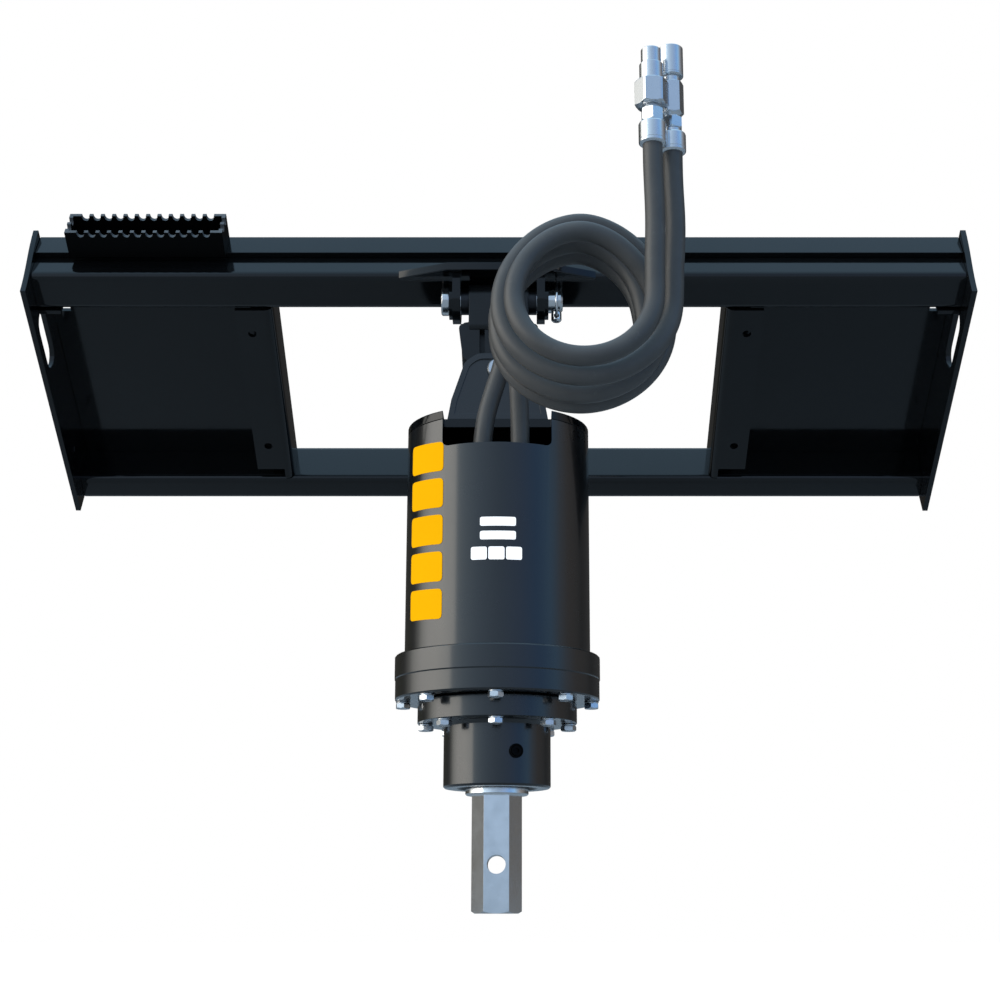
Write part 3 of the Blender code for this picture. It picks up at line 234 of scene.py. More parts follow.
def worn_metal_group():
    """Plated or machined metal: cloudy tone, fine tool marks round or along the piece."""
    group, given, out = new_group(
        "worn_metal",
        (
            ("Metal", "NodeSocketColor", (0.55, 0.58, 0.62, 1)),
            ("Dull Metal", "NodeSocketColor", (0.36, 0.38, 0.41, 1)),
            ("Gloss", "NodeSocketFloat", 0.25),
            ("Marks", "NodeSocketFloat", 0.4),
            ("Mark Stretch", "NodeSocketVector", (300.0, 300.0, 2200.0)),
        ),
        LOOK_OUTPUTS,
    )
    place = object_place(group)
    cloud = noise(group, place, 60.0, 6.0)
    stretch = group.nodes.new("ShaderNodeVectorMath")
    stretch.operation = "MULTIPLY"
    group.links.new(place, stretch.inputs[0])
    group.links.new(given["Mark Stretch"], stretch.inputs[1])
    marks = noise(group, stretch.outputs[0], 1.0, 3.0)
    tone = mix_colour(group, ramp(group, cloud, 0.35, 0.7), given["Metal"], given["Dull Metal"])
    group.links.new(tone, out["Colour"])
    spread = ramp(group, marks, 0.25, 0.75, -0.05, 0.09)
    patch = ramp(group, cloud, 0.3, 0.8, -0.03, 0.08)
    roughening = math_node(group, "MULTIPLY", given["Marks"], 3.0)
    marked = math_node(group, "MULTIPLY", spread, roughening)
    rough = math_node(group, "ADD", given["Gloss"], math_node(group, "ADD", marked, patch))
    group.links.new(rough, out["Roughness"])
    group.links.new(math_node(group, "MULTIPLY", marks, given["Marks"]), out["Height"])
    return group


def rubber_cover_group():
    """Hose cover: satin rubber with a wrapped-cloth imprint and pale scuffs."""
    group, given, out = new_group(
        "rubber_cover",
        (
            ("Rubber", "NodeSocketColor", (0.090, 0.084, 0.078, 1)),
            ("Scuffed", "NodeSocketColor", (0.18, 0.172, 0.162, 1)),
            ("Gloss", "NodeSocketFloat", 0.42),
        ),
        LOOK_OUTPUTS,
    )
    place = object_place(group)
    cloud = noise(group, place, 35.0, 6.0)
    cloth = noise(group, place, 1100.0, 2.0)
    scuffs = ramp(group, noise(group, place, 90.0, 8.0, 0.7), 0.6, 0.72)
    scuffed = math_node(group, "MULTIPLY", scuffs, 0.35)
    tone = mix_colour(group, scuffed, given["Rubber"], given["Scuffed"])
    tone = mix_colour(group, ramp(group, cloud, 0.3, 0.8, 0.0, 0.25), tone, given["Scuffed"])
    group.links.new(tone, out["Colour"])
    rough = math_node(group, "ADD", given["Gloss"], ramp(group, cloud, 0.3, 0.8, -0.04, 0.1))
    group.links.new(rough, out["Roughness"])
    group.links.new(cloth, out["Height"])
    return group


GROUPS = {
    "paint": sprayed_paint_group(),
    "metal": worn_metal_group(),
    "rubber": rubber_cover_group(),
}


def finish(
    name,
    group,
    values,
    bump,
    bump_depth=0.0004,
    coat=0.0,
    coat_rough=0.05,
    metallic=0.0,
    specular=0.5,
    glow=0.0,
):
    """A material from one shared group: its colours and gloss, then the plain sockets."""
    made = bpy.data.materials.new(name)
    made.use_nodes = True
    tree = made.node_tree
    shader = tree.nodes["Principled BSDF"]
    look = tree.nodes.new("ShaderNodeGroup")
    look.node_tree = GROUPS[group]
    for label, value in values.items():
        look.inputs[label].default_value = value
    relief = tree.nodes.new("ShaderNodeBump")
    relief.inputs["Strength"].default_value = bump
    relief.inputs["Distance"].default_value = bump_depth
    tree.links.new(look.outputs["Height"], relief.inputs["Height"])
    tree.links.new(relief.outputs["Normal"], shader.inputs["Normal"])
    tree.links.new(look.outputs["Colour"], shader.inputs["Base Color"])
    tree.links.new(look.outputs["Roughness"], shader.inputs["Roughness"])
    shader.inputs["Metallic"].default_value = metallic
    shader.inputs["Coat Weight"].default_value = coat
    shader.inputs["Coat Roughness"].default_value = coat_rough
    shader.inputs["Specular IOR Level"].default_value = specular
    # A glow makes the material shine by itself in its own colour: painted light, not a lamp
    if glow:
        tree.links.new(look.outputs["Colour"], shader.inputs["Emission Color"])
        shader.inputs["Emission Strength"].default_value = glow
    return made


def grey(level, blue=0.0):
    """A grey of this level with its red lowered and its blue raised by a share."""
    return (level * (1 - blue), level, level * (1 + blue), 1)


FINISH = {
    "gloss_black": finish(
        "gloss_black",
        "paint",
        {"Paint": grey(0.0035, 0.1), "Thin Paint": grey(0.0055, 0.1), "Gloss": 0.07, "Dust": 0.03},
        0.03,
    ),
    # Nearly black with little gloss: on the step this is painted shade, a darker copy of the
    # frame's paint; on the level plug a dull black
    "dull_black_and_painted_shade": finish(
        "dull_black_and_painted_shade",
        "paint",
        {"Paint": grey(0.0012), "Thin Paint": grey(0.0020), "Gloss": 0.45, "Dust": 0.01},
        0.05,
        specular=0.08,
    ),
    # Pale grey for the step's cut rim edges: a painted highlight where the teeth would catch the
    # light
    "pale_rim_painted_highlight": finish(
        "pale_rim_painted_highlight",
        "paint",
        {"Paint": grey(0.16, 0.02), "Thin Paint": grey(0.06, 0.02), "Gloss": 0.35, "Dust": 0.05},
        0.10,
    ),
    "coated_black": finish(
        "coated_black",
        "paint",
        {"Paint": grey(0.0035, 0.1), "Thin Paint": grey(0.0055, 0.1), "Gloss": 0.26, "Dust": 0.03},
        0.04,
        coat=1.0,
        coat_rough=0.11,
    ),
    "cast_black": finish(
        "cast_black",
        "paint",
        {
            "Paint": grey(0.006, 0.05),
            "Thin Paint": grey(0.011, 0.05),
            "Gloss": 0.3,
            "Dust": 0.08,
            "Peel": 0.3,
        },
        0.16,
        0.0006,
    ),
    "zinc_plate": finish(
        "zinc_plate",
        "metal",
        {
            "Metal": (0.90, 0.90, 0.90, 1),
            "Dull Metal": (0.80, 0.81, 0.82, 1),
            "Gloss": 0.16,
            "Marks": 0.1,
        },
        0.05,
        metallic=1.0,
    ),
    "machined_steel": finish(
        "machined_steel",
        "metal",
        {
            "Metal": (0.97, 0.97, 0.97, 1),
            "Dull Metal": (0.88, 0.89, 0.90, 1),
            "Gloss": 0.14,
            "Marks": 0.3,
        },
        0.06,
        metallic=1.0,
    ),
    "oiled_steel": finish(
        "oiled_steel",
        "metal",
        {"Metal": (0.055, 0.056, 0.06, 1), "Dull Metal": (0.025, 0.025, 0.028, 1), "Gloss": 0.33},
        0.08,
        metallic=1.0,
    ),
    "bright_zinc": finish(
        "bright_zinc",
        "metal",
        {
            "Metal": (0.84, 0.86, 0.88, 1),
            "Dull Metal": (0.78, 0.80, 0.83, 1),
            "Gloss": 0.24,
            "Marks": 0.02,
        },
        0.0,
        metallic=1.0,
    ),
    "hose_cover": finish("hose_cover", "rubber", {}, 0.12, 0.0003),
    # The yellow film glows at full strength: painted light that keeps it bright under any lamp
    "yellow_film": finish(
        "yellow_film",
        "paint",
        {
            "Paint": (0.62, 0.30, 0.002, 1),
            "Thin Paint": (0.60, 0.29, 0.002, 1),
            "Gloss": 0.5,
            "Dust": 0.0,
        },
        0.03,
        specular=0.0,
        glow=1.0,
    ),
    # The white film glows too: painted light that keeps it bright under any lamp
    "white_film": finish(
        "white_film",
        "paint",
        {"Paint": grey(0.92), "Thin Paint": grey(0.88), "Gloss": 0.5, "Dust": 0.0},
        0.03,
        specular=0.1,
        glow=0.85,
    ),
}

FINISH_OF_SLOT = {
    "black_paint": "gloss_black",
    "black_casting": "cast_black",
    "zinc": "zinc_plate",
    "shaft_steel": "machined_steel",
    "dark_steel": "oiled_steel",
    "hose_rubber": "hose_cover",
}


def edge_softener():
    """A modifier group that drops imported normals and shades the flatter edges smooth."""
    group = bpy.data.node_groups.new("shade_by_edge", "GeometryNodeTree")
    group.interface.new_socket(name="Geometry", in_out="INPUT", socket_type="NodeSocketGeometry")
    group.interface.new_socket(name="Geometry", in_out="OUTPUT", socket_type="NodeSocketGeometry")
    start = group.nodes.new("NodeGroupInput")
    end = group.nodes.new("NodeGroupOutput")
    drop = group.nodes.new("GeometryNodeRemoveAttribute")
    drop.inputs["Name"].default_value = "custom_normal"
    faces = group.nodes.new("GeometryNodeSetShadeSmooth")
    faces.domain = "FACE"
    faces.inputs["Shade Smooth"].default_value = True
    edges = group.nodes.new("GeometryNodeSetShadeSmooth")
    edges.domain = "EDGE"
    angle = group.nodes.new("GeometryNodeInputMeshEdgeAngle")
    small = group.nodes.new("FunctionNodeCompare")
    small.data_type = "FLOAT"
    small.operation = "LESS_THAN"
    small.inputs["B"].default_value = SMOOTH_ANGLE
    link = group.links.new
    link(start.outputs[0], drop.inputs["Geometry"])
    link(drop.outputs["Geometry"], faces.inputs["Geometry"])
    link(faces.outputs["Geometry"], edges.inputs["Geometry"])
    link(angle.outputs["Unsigned Angle"], small.inputs["A"])
    link(small.outputs["Result"], edges.inputs["Shade Smooth"])
    link(edges.outputs["Geometry"], end.inputs[0])
    return group


SHADE_BY_EDGE = edge_softener()


def round_edges(piece, width):
    """Rounds the sharp edges with two short faces each."""
    round_off = piece.modifiers.new("round_off", "BEVEL")
    round_off.width = width
    round_off.segments = 2
    round_off.limit_method = "ANGLE"
    round_off.angle_limit = ROUNDED_ANGLE
    round_off.use_clamp_overlap = True


def shade_edges(piece):
    """Smooth shading over the flatter edges, with normals that keep the large faces flat."""
    piece.modifiers.new("shade", "NODES").node_group = SHADE_BY_EDGE
    piece.modifiers.new("even", "WEIGHTED_NORMAL").keep_sharp = True


def mesh_of(form, name):
    """The closed form as a mesh, with its faces turned outwards."""
    bmesh.ops.recalc_face_normals(form, faces=form.faces)
    mesh = bpy.data.meshes.new(name)
    form.to_mesh(mesh)
    form.free()
    return mesh


# Turned pieces: levels along Z are (height, radius), or (height, radius, flats, turned) where a
# hexagon of that width across the flats, turned by some degrees, cuts into the round
HEX_STEP = tau / 6


def turned(name, levels, sides=72, closed=False):
    """One body through the given levels; closed joins the last level to the first for a bore."""
    form = bmesh.new()
    rings = []
    for height, radius, *hexagon in levels:
        ring = []
        for i in range(sides):
            angle = tau * i / sides
            reach = radius
            if hexagon:
                flats, turned_by = hexagon
                aside = (angle - radians(turned_by) + HEX_STEP / 2) % HEX_STEP - HEX_STEP / 2
                reach = min(radius, flats / 2 / cos(aside))
            ring.append(form.verts.new((reach * cos(angle), reach * sin(angle), height)))
        rings.append(ring)
    pairs = list(zip(rings, rings[1:]))
    if closed:
        pairs.append((rings[-1], rings[0]))
    for low, high in pairs:
        for i in range(sides):
            k = (i + 1) % sides
            form.faces.new((low[i], low[k], high[k], high[i]))
    if not closed:
        form.faces.new(rings[0][::-1])
        form.faces.new(rings[-1])
    return mesh_of(form, name)


def hex_levels(low, high, flats, chamfer=0.0015, turned_by=0):
    """Levels of a hexagon whose corners are turned off at both ends."""
    corner = flats / 2 / cos(HEX_STEP / 2)
    inner = flats / 2 * 0.985
    reaches = [(t, inner + (corner - inner) * t) for t in (0.0, 0.35, 0.7, 1.0)]
    below = [(low + chamfer * t, reach, flats, turned_by) for t, reach in reaches]
    above = [(high - chamfer * t, reach, flats, turned_by) for t, reach in reversed(reaches)]
    return below + above


def round_levels(low, high, radius, edge=0.0008):
    """Levels of a plain disc or rod with both rims taken off."""
    foot = [(low, radius - edge), (low + edge, radius)]
    return foot + [(high - edge, radius), (high, radius - edge)]


def add_piece(name, mesh, look, body, place=None, turn=0.0, edge=0.0):
    """Puts a mesh into the scene with its finish, on the body that carries it."""
    mesh.materials.append(FINISH[look])
    made = bpy.data.objects.new(name, mesh)
    if place is not None:
        made.location = place
    made.rotation_euler.z = turn
    scene.collection.objects.link(made)
    if edge:
        round_edges(made, edge)
    shade_edges(made)
    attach(made, body)
    return made


def node_box(name):
    """Lowest and highest corner of a node, in the shared frame."""
    piece = nodes[name]
    spots = [piece.matrix_world @ Vector(corner) for corner in piece.bound_box]
    low = Vector([min(spot[i] for spot in spots) for i in range(3)])
    high = Vector([max(spot[i] for spot in spots) for i in range(3)])
    return low, high


def hex_bolts():
    """Washer and chamfered head of each bolt, heads down, each stopped at its own angle."""
    washer = round_levels(-0.0010, 0.0, BOLT_WASHER / 2, 0.0003)[::-1]
    skirt = [(-0.0011, BOLT_HEAD * 0.49), (-0.0013, BOLT_HEAD * 0.49)]
    head = hex_levels(-BOLT_DEPTH, -0.0013, BOLT_HEAD, 0.0012)[::-1]
    face = [(-BOLT_DEPTH, BOLT_HEAD * 0.40), (-BOLT_DEPTH + 0.0004, BOLT_HEAD * 0.37)]
    levels = (washer + skirt + head + face)[::-1]
    for word, first_turn in (("ring_bolt", 0.3), ("flange_bolt", 0.9)):
        for i in range(BOLTS_ROUND):
            node = f"{word}_{i + 1}"
            low, high = node_box(node)
            out = (low + high) / 2 - DRIVE_AXIS
            out.z = 0
            middle = DRIVE_AXIS + out.normalized() * (out.length - BOLT_INWARD)
            seat = (middle.x, middle.y, high.z)
            name = node + "_chamfered"
            mesh = turned(name, levels, 48)
            turn = first_turn + 1.9 * i
            made = add_piece(name, mesh, "bright_zinc", "drive", seat, turn)
            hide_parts(node)


def carrier_of(node):
    """The body that carries a node of the solids."""
    bodies = frame["record"]["behaviour"]["bodies"]
    return next(body for body, members in bodies.items() if node in members)


def ring_mesh(name, radius, wire, thin_axis, around=64, sides=14):
    """A round wire ring whose axis is the given one."""
    form = bmesh.new()
    first, second = [i for i in range(3) if i != thin_axis]
    rows = []
    for i in range(around):
        row = []
        for k in range(sides):
            out = radius + wire * cos(tau * k / sides)
            spot = [0.0, 0.0, 0.0]
            spot[first], spot[second] = out * cos(tau * i / around), out * sin(tau * i / around)
            spot[thin_axis] = wire * sin(tau * k / sides)
            row.append(form.verts.new(spot))
        rows.append(row)
    for i in range(around):
        ahead = rows[(i + 1) % around]
        for k in range(sides):
            up = (k + 1) % sides
            form.faces.new((rows[i][k], ahead[k], ahead[up], rows[i][up]))
    return mesh_of(form, name)


def linch_rings():
    """The round spring rings of both linch pins."""
    for word in ("upper", "lower"):
        node = word + "_linch_ring"
        low, high = node_box(node)
        reach = (high - low) / 2
        thin = min(range(3), key=lambda i: reach[i])
        name = node + "_round"
        mesh = ring_mesh(name, max(reach) - reach[thin], reach[thin], thin)
        made = add_piece(name, mesh, "zinc_plate", carrier_of(node), (low + high) / 2)
        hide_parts(node)


def stacked(name, node, foot, levels, closed=False):
    """A turned zinc piece of the hose ends, in place of one node."""
    mesh = turned(name, levels, closed=closed)
    made = add_piece(name, mesh, "bright_zinc", carrier_of(node), foot)
    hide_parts(node)
    return made


def ferrule(side, foot, radius, tall):
    """A smooth pressed shell with a fine turned line near its rounded foot."""
    lined = radius - 0.0003
    levels = [(0.0, radius - 0.0030), (0.0004, radius - 0.0012), (0.0014, radius - 0.0002)]
    levels += [(0.0026, radius), (0.0040, radius), (0.0043, lined), (0.0047, lined)]
    levels += [(0.0050, radius), (tall - 0.0028, radius), (tall - 0.0010, radius - 0.0008)]
    levels += [(tall, radius - 0.0028)]
    return stacked(f"ferrule_{side}_pressed", f"hose_ferrule_{side}", foot, levels)


def male_coupler(foot):
    """Swivel nut, neck, big hexagon, body and the tip with its bore."""
    nut, hexagon = 0.0224, 0.0340
    body, tip = 0.0133, 0.0113
    levels = hex_levels(0.0, 0.0160, nut, 0.0014)
    levels += [(0.0162, 0.0094), (0.0176, 0.0094), (0.0190, 0.0150)]
    levels += hex_levels(0.0192, 0.0490, hexagon, 0.0018, 33)
    levels += [(0.0492, body), (0.0690, body), (0.0700, 0.0125)]
    levels += [(0.0702, tip), (0.0870, tip), (0.0885, 0.0098)]
    levels += [(0.0885, 0.0062), (0.0840, 0.0060)]
    return stacked("male_coupler_turned", "coupler_male", foot, levels)


def female_coupler(foot):
    """Collar, swivel nut, neck, long hexagon and the core under the sleeve, with its bore."""
    nut, hexagon = 0.0214, 0.0240
    core = 0.0099
    levels = round_levels(0.0, 0.0046, 0.0100, 0.0008)
    levels += hex_levels(0.0048, 0.0180, nut, 0.0012, 55)
    levels += [(0.0182, 0.0090), (0.0196, 0.0090), (0.0224, 0.0110)]
    levels += hex_levels(0.0226, 0.0610, hexagon, 0.0016, 35)
    levels += [(0.0612, core), (FEMALE_TALL - 0.0010, core), (FEMALE_TALL, 0.0090)]
    levels += [(FEMALE_TALL, 0.0072), (FEMALE_TALL - 0.0120, 0.0070)]
    return stacked("female_coupler_turned", "coupler_female", foot, levels)


def pull_sleeve(foot):
    """The plain sleeve drawn back to let the other half go, with a fine line near its foot."""
    bore, outer, tall = SLEEVE_BORE, SLEEVE_OUTER, SLEEVE_TALL
    lined = outer - 0.0004
    levels = [(0.0, bore), (0.0, outer - 0.0014), (0.0012, outer), (0.0024, outer)]
    levels += [(0.0027, lined), (0.0032, lined), (0.0035, outer)]
    levels += [(tall - 0.0010, outer), (tall, outer - 0.0010), (tall, bore)]
    return stacked("sleeve_turned", "coupler_sleeve", foot, levels, closed=True)


# The hitch: plates as outlines pushed through a thickness
def prism(name, outline, faces, place, look, body, slot, edge):
    """A closed prism with rounded edges; place turns (across, up, through) into the frame."""
    form = bmesh.new()
    sides = [[form.verts.new(place(a, b, deep)) for a, b in outline] for deep in faces]
    form.faces.new(sides[0])
    form.faces.new(sides[1][::-1])
    count = len(outline)
    for i in range(count):
        k = (i + 1) % count
        form.faces.new((sides[0][i], sides[0][k], sides[1][k], sides[1][i]))
    return add_piece(name, mesh_of(form, name), look, body, edge=edge)


def link_casting(name, outline, faces, place):
    prism(name, outline, faces, place, "cast_black", "link", "black_casting", CASTING_EDGE)


def lying(across, along, level):
    return across, along, level


def across_hinge(along, up, side):
    return side, along, up


def upright(across, up, deep):
    return across, deep, up


def wing_plate():
    """The blunt-ended plate that lies under the beam and carries the hitch ears."""
    outline = [(-0.1253, -0.0572), (-0.1253, -0.0650), (-0.0640, -0.0948)]
    outline += [(0.0600, -0.0948), (0.1216, -0.0650), (0.1216, -0.0572)]
    paint = ("gloss_black", "frame", "black_paint", PLATE_EDGE)
    plate = prism("wing_plate_blunt", outline, WING_FACES, lying, *paint)
    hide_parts("wing_plate")


def link_block():
    """The round-topped block of the swing link between the hitch ears."""
    middle = Vector((DRIVE_AXIS.y, HINGE_HEIGHT))
    turn, arch_steps = LINK_BLOCK_ROUND, 16
    angles = [pi * k / arch_steps for k in range(arch_steps + 1)]
    block = [(turn * cos(angle), turn * sin(angle)) for angle in angles]
    block += [(-turn, -0.0360), (-0.0172, -0.0430), (0.0172, -0.0430), (turn, -0.0360)]
    block = [(middle.x + along, middle.y + up) for along, up in block]
    faces = (-LINK_BLOCK_HALF, LINK_BLOCK_HALF)
    link_casting("link_block", block, faces, across_hinge)


def link_rear_plate():
    """The link's rear wall from the block down to the lower hinge."""
    right = [(0.0300, -0.1040), (0.0440, -0.1060), (0.0470, -0.1180)]
    right += [(0.0470, -0.1250), (0.0440, -0.1790)]
    outline = [(-a, b) for a, b in right] + right[::-1]
    link_casting("link_rear_plate", outline, LINK_REAR_FACES, upright)


def turned_pivot_pin():
    """The fore-and-aft pin with its small head against the front ear."""
    shank = 0.0125
    levels = [(-0.0640, 0.0100), (-0.0615, shank), (0.0500, shank), (0.0568, shank)]
    levels += [(0.0590, 0.0110), (0.0590, 0.0070), (0.0583, 0.0064)]
    mesh = turned("pivot_pin_turned", levels)
    mesh.transform(Matrix.Rotation(pi / 2, 4, "X"))
    place = (0, DRIVE_AXIS.y, PIVOT_HEIGHT)
    made = add_piece("pivot_pin_turned", mesh, "bright_zinc", "drive", place)
    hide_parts("lower_pivot_pin")


def lowered_plug():
    """The level plug on its housing, with a rim, a face and a hexagon socket."""
    rim, face = 0.0082, 0.0060
    levels = [(0.0, rim), (0.0018, rim), (0.0022, 0.0078), (0.0022, 0.0068)]
    levels += [(0.0014, 0.0066), (0.0014, 0.0063), (0.0024, face), (0.0026, 0.0057)]
    levels += [(0.0026, 0.0036, 0.0056, 0), (0.0010, 0.0034, 0.0054, 0)]
    mesh = turned("level_plug_socketed", levels)
    mesh.transform(Matrix.Rotation(PLUG_TURN, 4, "Z") @ Matrix.Rotation(pi / 2, 4, "X"))
    seat = DRIVE_AXIS + Vector((sin(PLUG_TURN), -cos(PLUG_TURN), 0)) * PLUG_REACH
    place = (seat.x, seat.y, PLUG_HEIGHT)
    made = add_piece("level_plug_socketed", mesh, "dull_black_and_painted_shade", "drive", place)
    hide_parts("level_plug")


# The step: butted walls of sheet with scalloped rims whose cut edges carry a pale grey painted
# highlight
def scalloped(start, end, level, count, steps=10):
    """Points along a rim from start to end with evenly spaced round bites down from the level."""
    middle = (start + end) / 2
    found = [(start, level)]
    for i in range(count):
        centre = middle + (i - (count - 1) / 2) * STEP_PITCH
        for k in range(steps + 1):
            angle = pi * k / steps
            drop = STEP_BITE_DEPTH * sin(angle) ** 0.8
            found.append((centre - STEP_BITE_HALF * cos(angle), level - drop))
    return found + [(end, level)]


def step_wall(form, rim, foot, sheet, place):
    """A wall of sheet under a rim outline; its cut edges take the second material, the painted
    highlight.
    """
    outline = rim + [(rim[-1][0], foot), (rim[0][0], foot)]
    sides = [[form.verts.new(place(a, b, deep)) for a, b in outline] for deep in sheet]
    form.faces.new(sides[0])
    form.faces.new(sides[1][::-1])
    count = len(outline)
    for i in range(count):
        k = (i + 1) % count
        edge = form.faces.new((sides[0][i], sides[0][k], sides[1][k], sides[1][i]))
        edge.material_index = 1 if i < len(rim) - 1 else 0


def along_beam(across, level, deep):
    return across, deep, level


def across_beam(across, level, deep):
    return deep, across, level


def serrated_step():
    """Two long and two short scalloped walls round a floor, leaned with the frame."""
    form = bmesh.new()
    (left, front, floor), (right, back, rim) = STEP_LOW, STEP_HIGH
    long_rim = scalloped(left, right, rim, STEP_LONG_BITES)
    for sheet in ((front, front + STEP_SHEET), (back - STEP_SHEET, back)):
        step_wall(form, long_rim, floor, sheet, along_beam)
    inner = (front + STEP_SHEET, back - STEP_SHEET)
    short_rim = scalloped(*inner, rim, STEP_SHORT_BITES)
    for sheet in ((left, left + STEP_SHEET), (right - STEP_SHEET, right)):
        step_wall(form, short_rim, floor, sheet, across_beam)
    floor_top = floor + STEP_SHEET
    floor_rim = [(left + STEP_SHEET, floor_top), (right - STEP_SHEET, floor_top)]
    step_wall(form, floor_rim, floor, inner, along_beam)
    for face in form.faces:
        if abs(face.calc_center_median().z - floor_top) < 0.0001:
            face.material_index = 0
    form.transform(Matrix.Rotation(FRAME_LEAN, 4, "X"))
    mesh = mesh_of(form, "serrated_step")
    # The step's walls take the unreflective black, which is painted shade over the frame's paint
    made = add_piece("serrated_step", mesh, "dull_black_and_painted_shade", "frame")
    # Second material: the pale painted highlight on the rims' cut edges
    mesh.materials.append(FINISH["pale_rim_painted_highlight"])
    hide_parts("step_tread")


# The films: plain yellow segments and white bars, bent round the hood
def rounded_outline(corners, radius, steps=4):
    """The outline with each corner replaced by a short curve."""
    found = []
    count = len(corners)
    for i, corner in enumerate(corners):
        here = Vector(corner)
        before = (Vector(corners[i - 1]) - here).normalized() * radius
        ahead = (Vector(corners[(i + 1) % count]) - here).normalized() * radius
        for k in range(steps + 1):
            t = k / steps
            spot = here + before * (1 - t) ** 2 + ahead * t**2
            found.append(Vector((round(spot.x, 6), round(spot.y, 6))))
    return found


def chord(outline, across):
    """Lowest and highest height of a convex outline at this place across."""
    heights = []
    for a, b in zip(outline, outline[1:] + outline[:1]):
        if min(a.x, b.x) - 1e-7 <= across <= max(a.x, b.x) + 1e-7:
            if abs(b.x - a.x) < 1e-9:
                heights += [a.y, b.y]
            else:
                heights.append(a.y + (b.y - a.y) * (across - a.x) / (b.x - a.x))
    return min(heights), max(heights)


def film(name, corners, radius, look):
    """A thin film bent round the hood: corners are (degrees from the front, height)."""
    outline = rounded_outline([(radians(a) * HOOD_RADIUS, z) for a, z in corners], radius)
    stops = {point.x for point in outline}
    low, high = min(stops), max(stops)
    count = ceil((high - low) / FILM_STRIP)
    stops |= {low + (high - low) * i / count for i in range(1, count)}
    form = bmesh.new()
    rows = []
    for across in sorted(stops):
        bottom, top = chord(outline, min(max(across, low), high))
        if top - bottom < 1e-6:
            continue
        angle = across / HOOD_RADIUS
        row = []
        inner, outer = (HOOD_RADIUS + reach for reach in FILM_REACH)
        for r, height in ((inner, bottom), (inner, top), (outer, top), (outer, bottom)):
            row.append(form.verts.new((r * sin(angle), DRIVE_AXIS.y - r * cos(angle), height)))
        rows.append(row)
    for a, b in zip(rows, rows[1:]):
        for i in range(4):
            k = (i + 1) % 4
            form.faces.new((a[i], a[k], b[k], b[i]))
    form.faces.new(rows[0])
    form.faces.new(rows[-1][::-1])
    add_piece(name, mesh_of(form, name), look, "drive")


def films():
    """Five slanted yellow segments up the left of the hood, five white bars at its middle."""
    low, high, gap, count = -0.4955, -0.2850, 0.0085, 5
    left, right, lean = -66.0, -34.5, 0.0045
    tall = (high - low - (count - 1) * gap) / count
    for i in range(count):
        foot = low + i * (tall + gap)
        corners = ((left, foot + lean), (right, foot))
        corners += ((right, foot + tall), (left, foot + tall + lean))
        film(f"yellow_segment_{i + 1}", corners, 0.006, "yellow_film")
    bars = [(-9.8, 11.7, -0.3905, -0.3800), (-9.8, 11.7, -0.4065, -0.3965)]
    bars += [(-15.2 + 10.5 * i, -5.6 + 10.5 * i, -0.4300, -0.4150) for i in range(3)]
    for i, (left, right, bottom, top) in enumerate(bars):
        corners = ((left, bottom), (right, bottom), (right, top), (left, top))
        film(f"white_bar_{i + 1}", corners, 0.0025, "white_film")


# The hoses: their own points, from the port fittings to the couplers
def coil_place(radius, angle, depth, across):
    """A point on the wound coil: the angle runs from +X up, the depth away from the camera."""
    away = Vector((0, cos(COIL_LEAN), -sin(COIL_LEAN)))
    up = Vector((0, sin(COIL_LEAN), cos(COIL_LEAN)))
    rise = sin(angle)
    height = radius * rise * (1 + COIL_RISE * max(0.0, rise))
    sideways = Vector((radius * cos(angle) + across, 0, 0))
    return COIL_FRONT + sideways + up * height + away * depth


def between(keys, degrees, column):
    """The value in one column of the winding table after this many degrees."""
    for low, high in zip(keys, keys[1:]):
        if degrees <= high[0]:
            share = (degrees - low[0]) / (high[0] - low[0])
            return low[column] + share * (high[column] - low[column])
    return keys[-1][column]


def wound_turns(keys, step=15):
    """Points along one hose's winding, some degrees apart."""
    last = keys[-1][0]
    count = int(last / step)
    found = []
    for i in range(count + 1):
        degrees = last * i / count
        radius, depth, across = (between(keys, degrees, column) for column in (1, 2, 3))
        found.append(coil_place(radius, -radians(degrees), depth / 1000, across))
    return found


# degrees turned, radius in m, depth in mm, sideways shift in m
FRONT_HOSE_TURNS = (
    (0, 0.0767, 0, 0),
    (90, 0.0760, 2, 0),
    (180, 0.0756, 5, 0),
    (270, 0.0756, 7, 0),
    (310, 0.0770, 20, 0),
    (360, 0.0845, 42, 0),
    (400, 0.0925, 48.5, 0),
    (450, 0.0930, 54, 0),
    (540, 0.0930, 59, 0),
    (630, 0.0930, 62, 0),
    (675, 0.0805, 63.5, 0),
    (705, 0.0715, 65, 0),
    (735, 0.0705, 67, 0),
    (800, 0.0705, 72, 0),
    (840, 0.0705, 82, 0),
    (870, 0.0705, 92, 0),
)
BACK_HOSE_TURNS = (
    (0, 0.0985, 22.6, 0),
    (45, 0.0890, 24, 0.003),
    (90, 0.0868, 25, 0.002),
    (130, 0.0890, 26, 0.003),
    (180, 0.0940, 28, 0.004),
    (270, 0.0985, 31, 0.002),
    (310, 0.0970, 43, 0.001),
    (360, 0.0945, 65, 0),
    (400, 0.0930, 71.5, 0),
    (450, 0.0930, 77, 0),
    (540, 0.0930, 82, 0),
    (630, 0.0930, 85, 0),
    (675, 0.0805, 87, 0),
    (705, 0.0715, 88.5, 0),
    (735, 0.0705, 90, 0),
    (800, 0.0705, 96, 0),
    (840, 0.0705, 105, 0),
    (870, 0.0705, 115, 0),
)
FRONT_HOSE_UPRIGHT = (
    (0.1732, -0.3423, -0.0015),
    (0.1732, -0.3423, -0.0300),
    (0.1745, -0.3423, -0.0900),
    (0.1730, -0.3423, -0.1400),
)
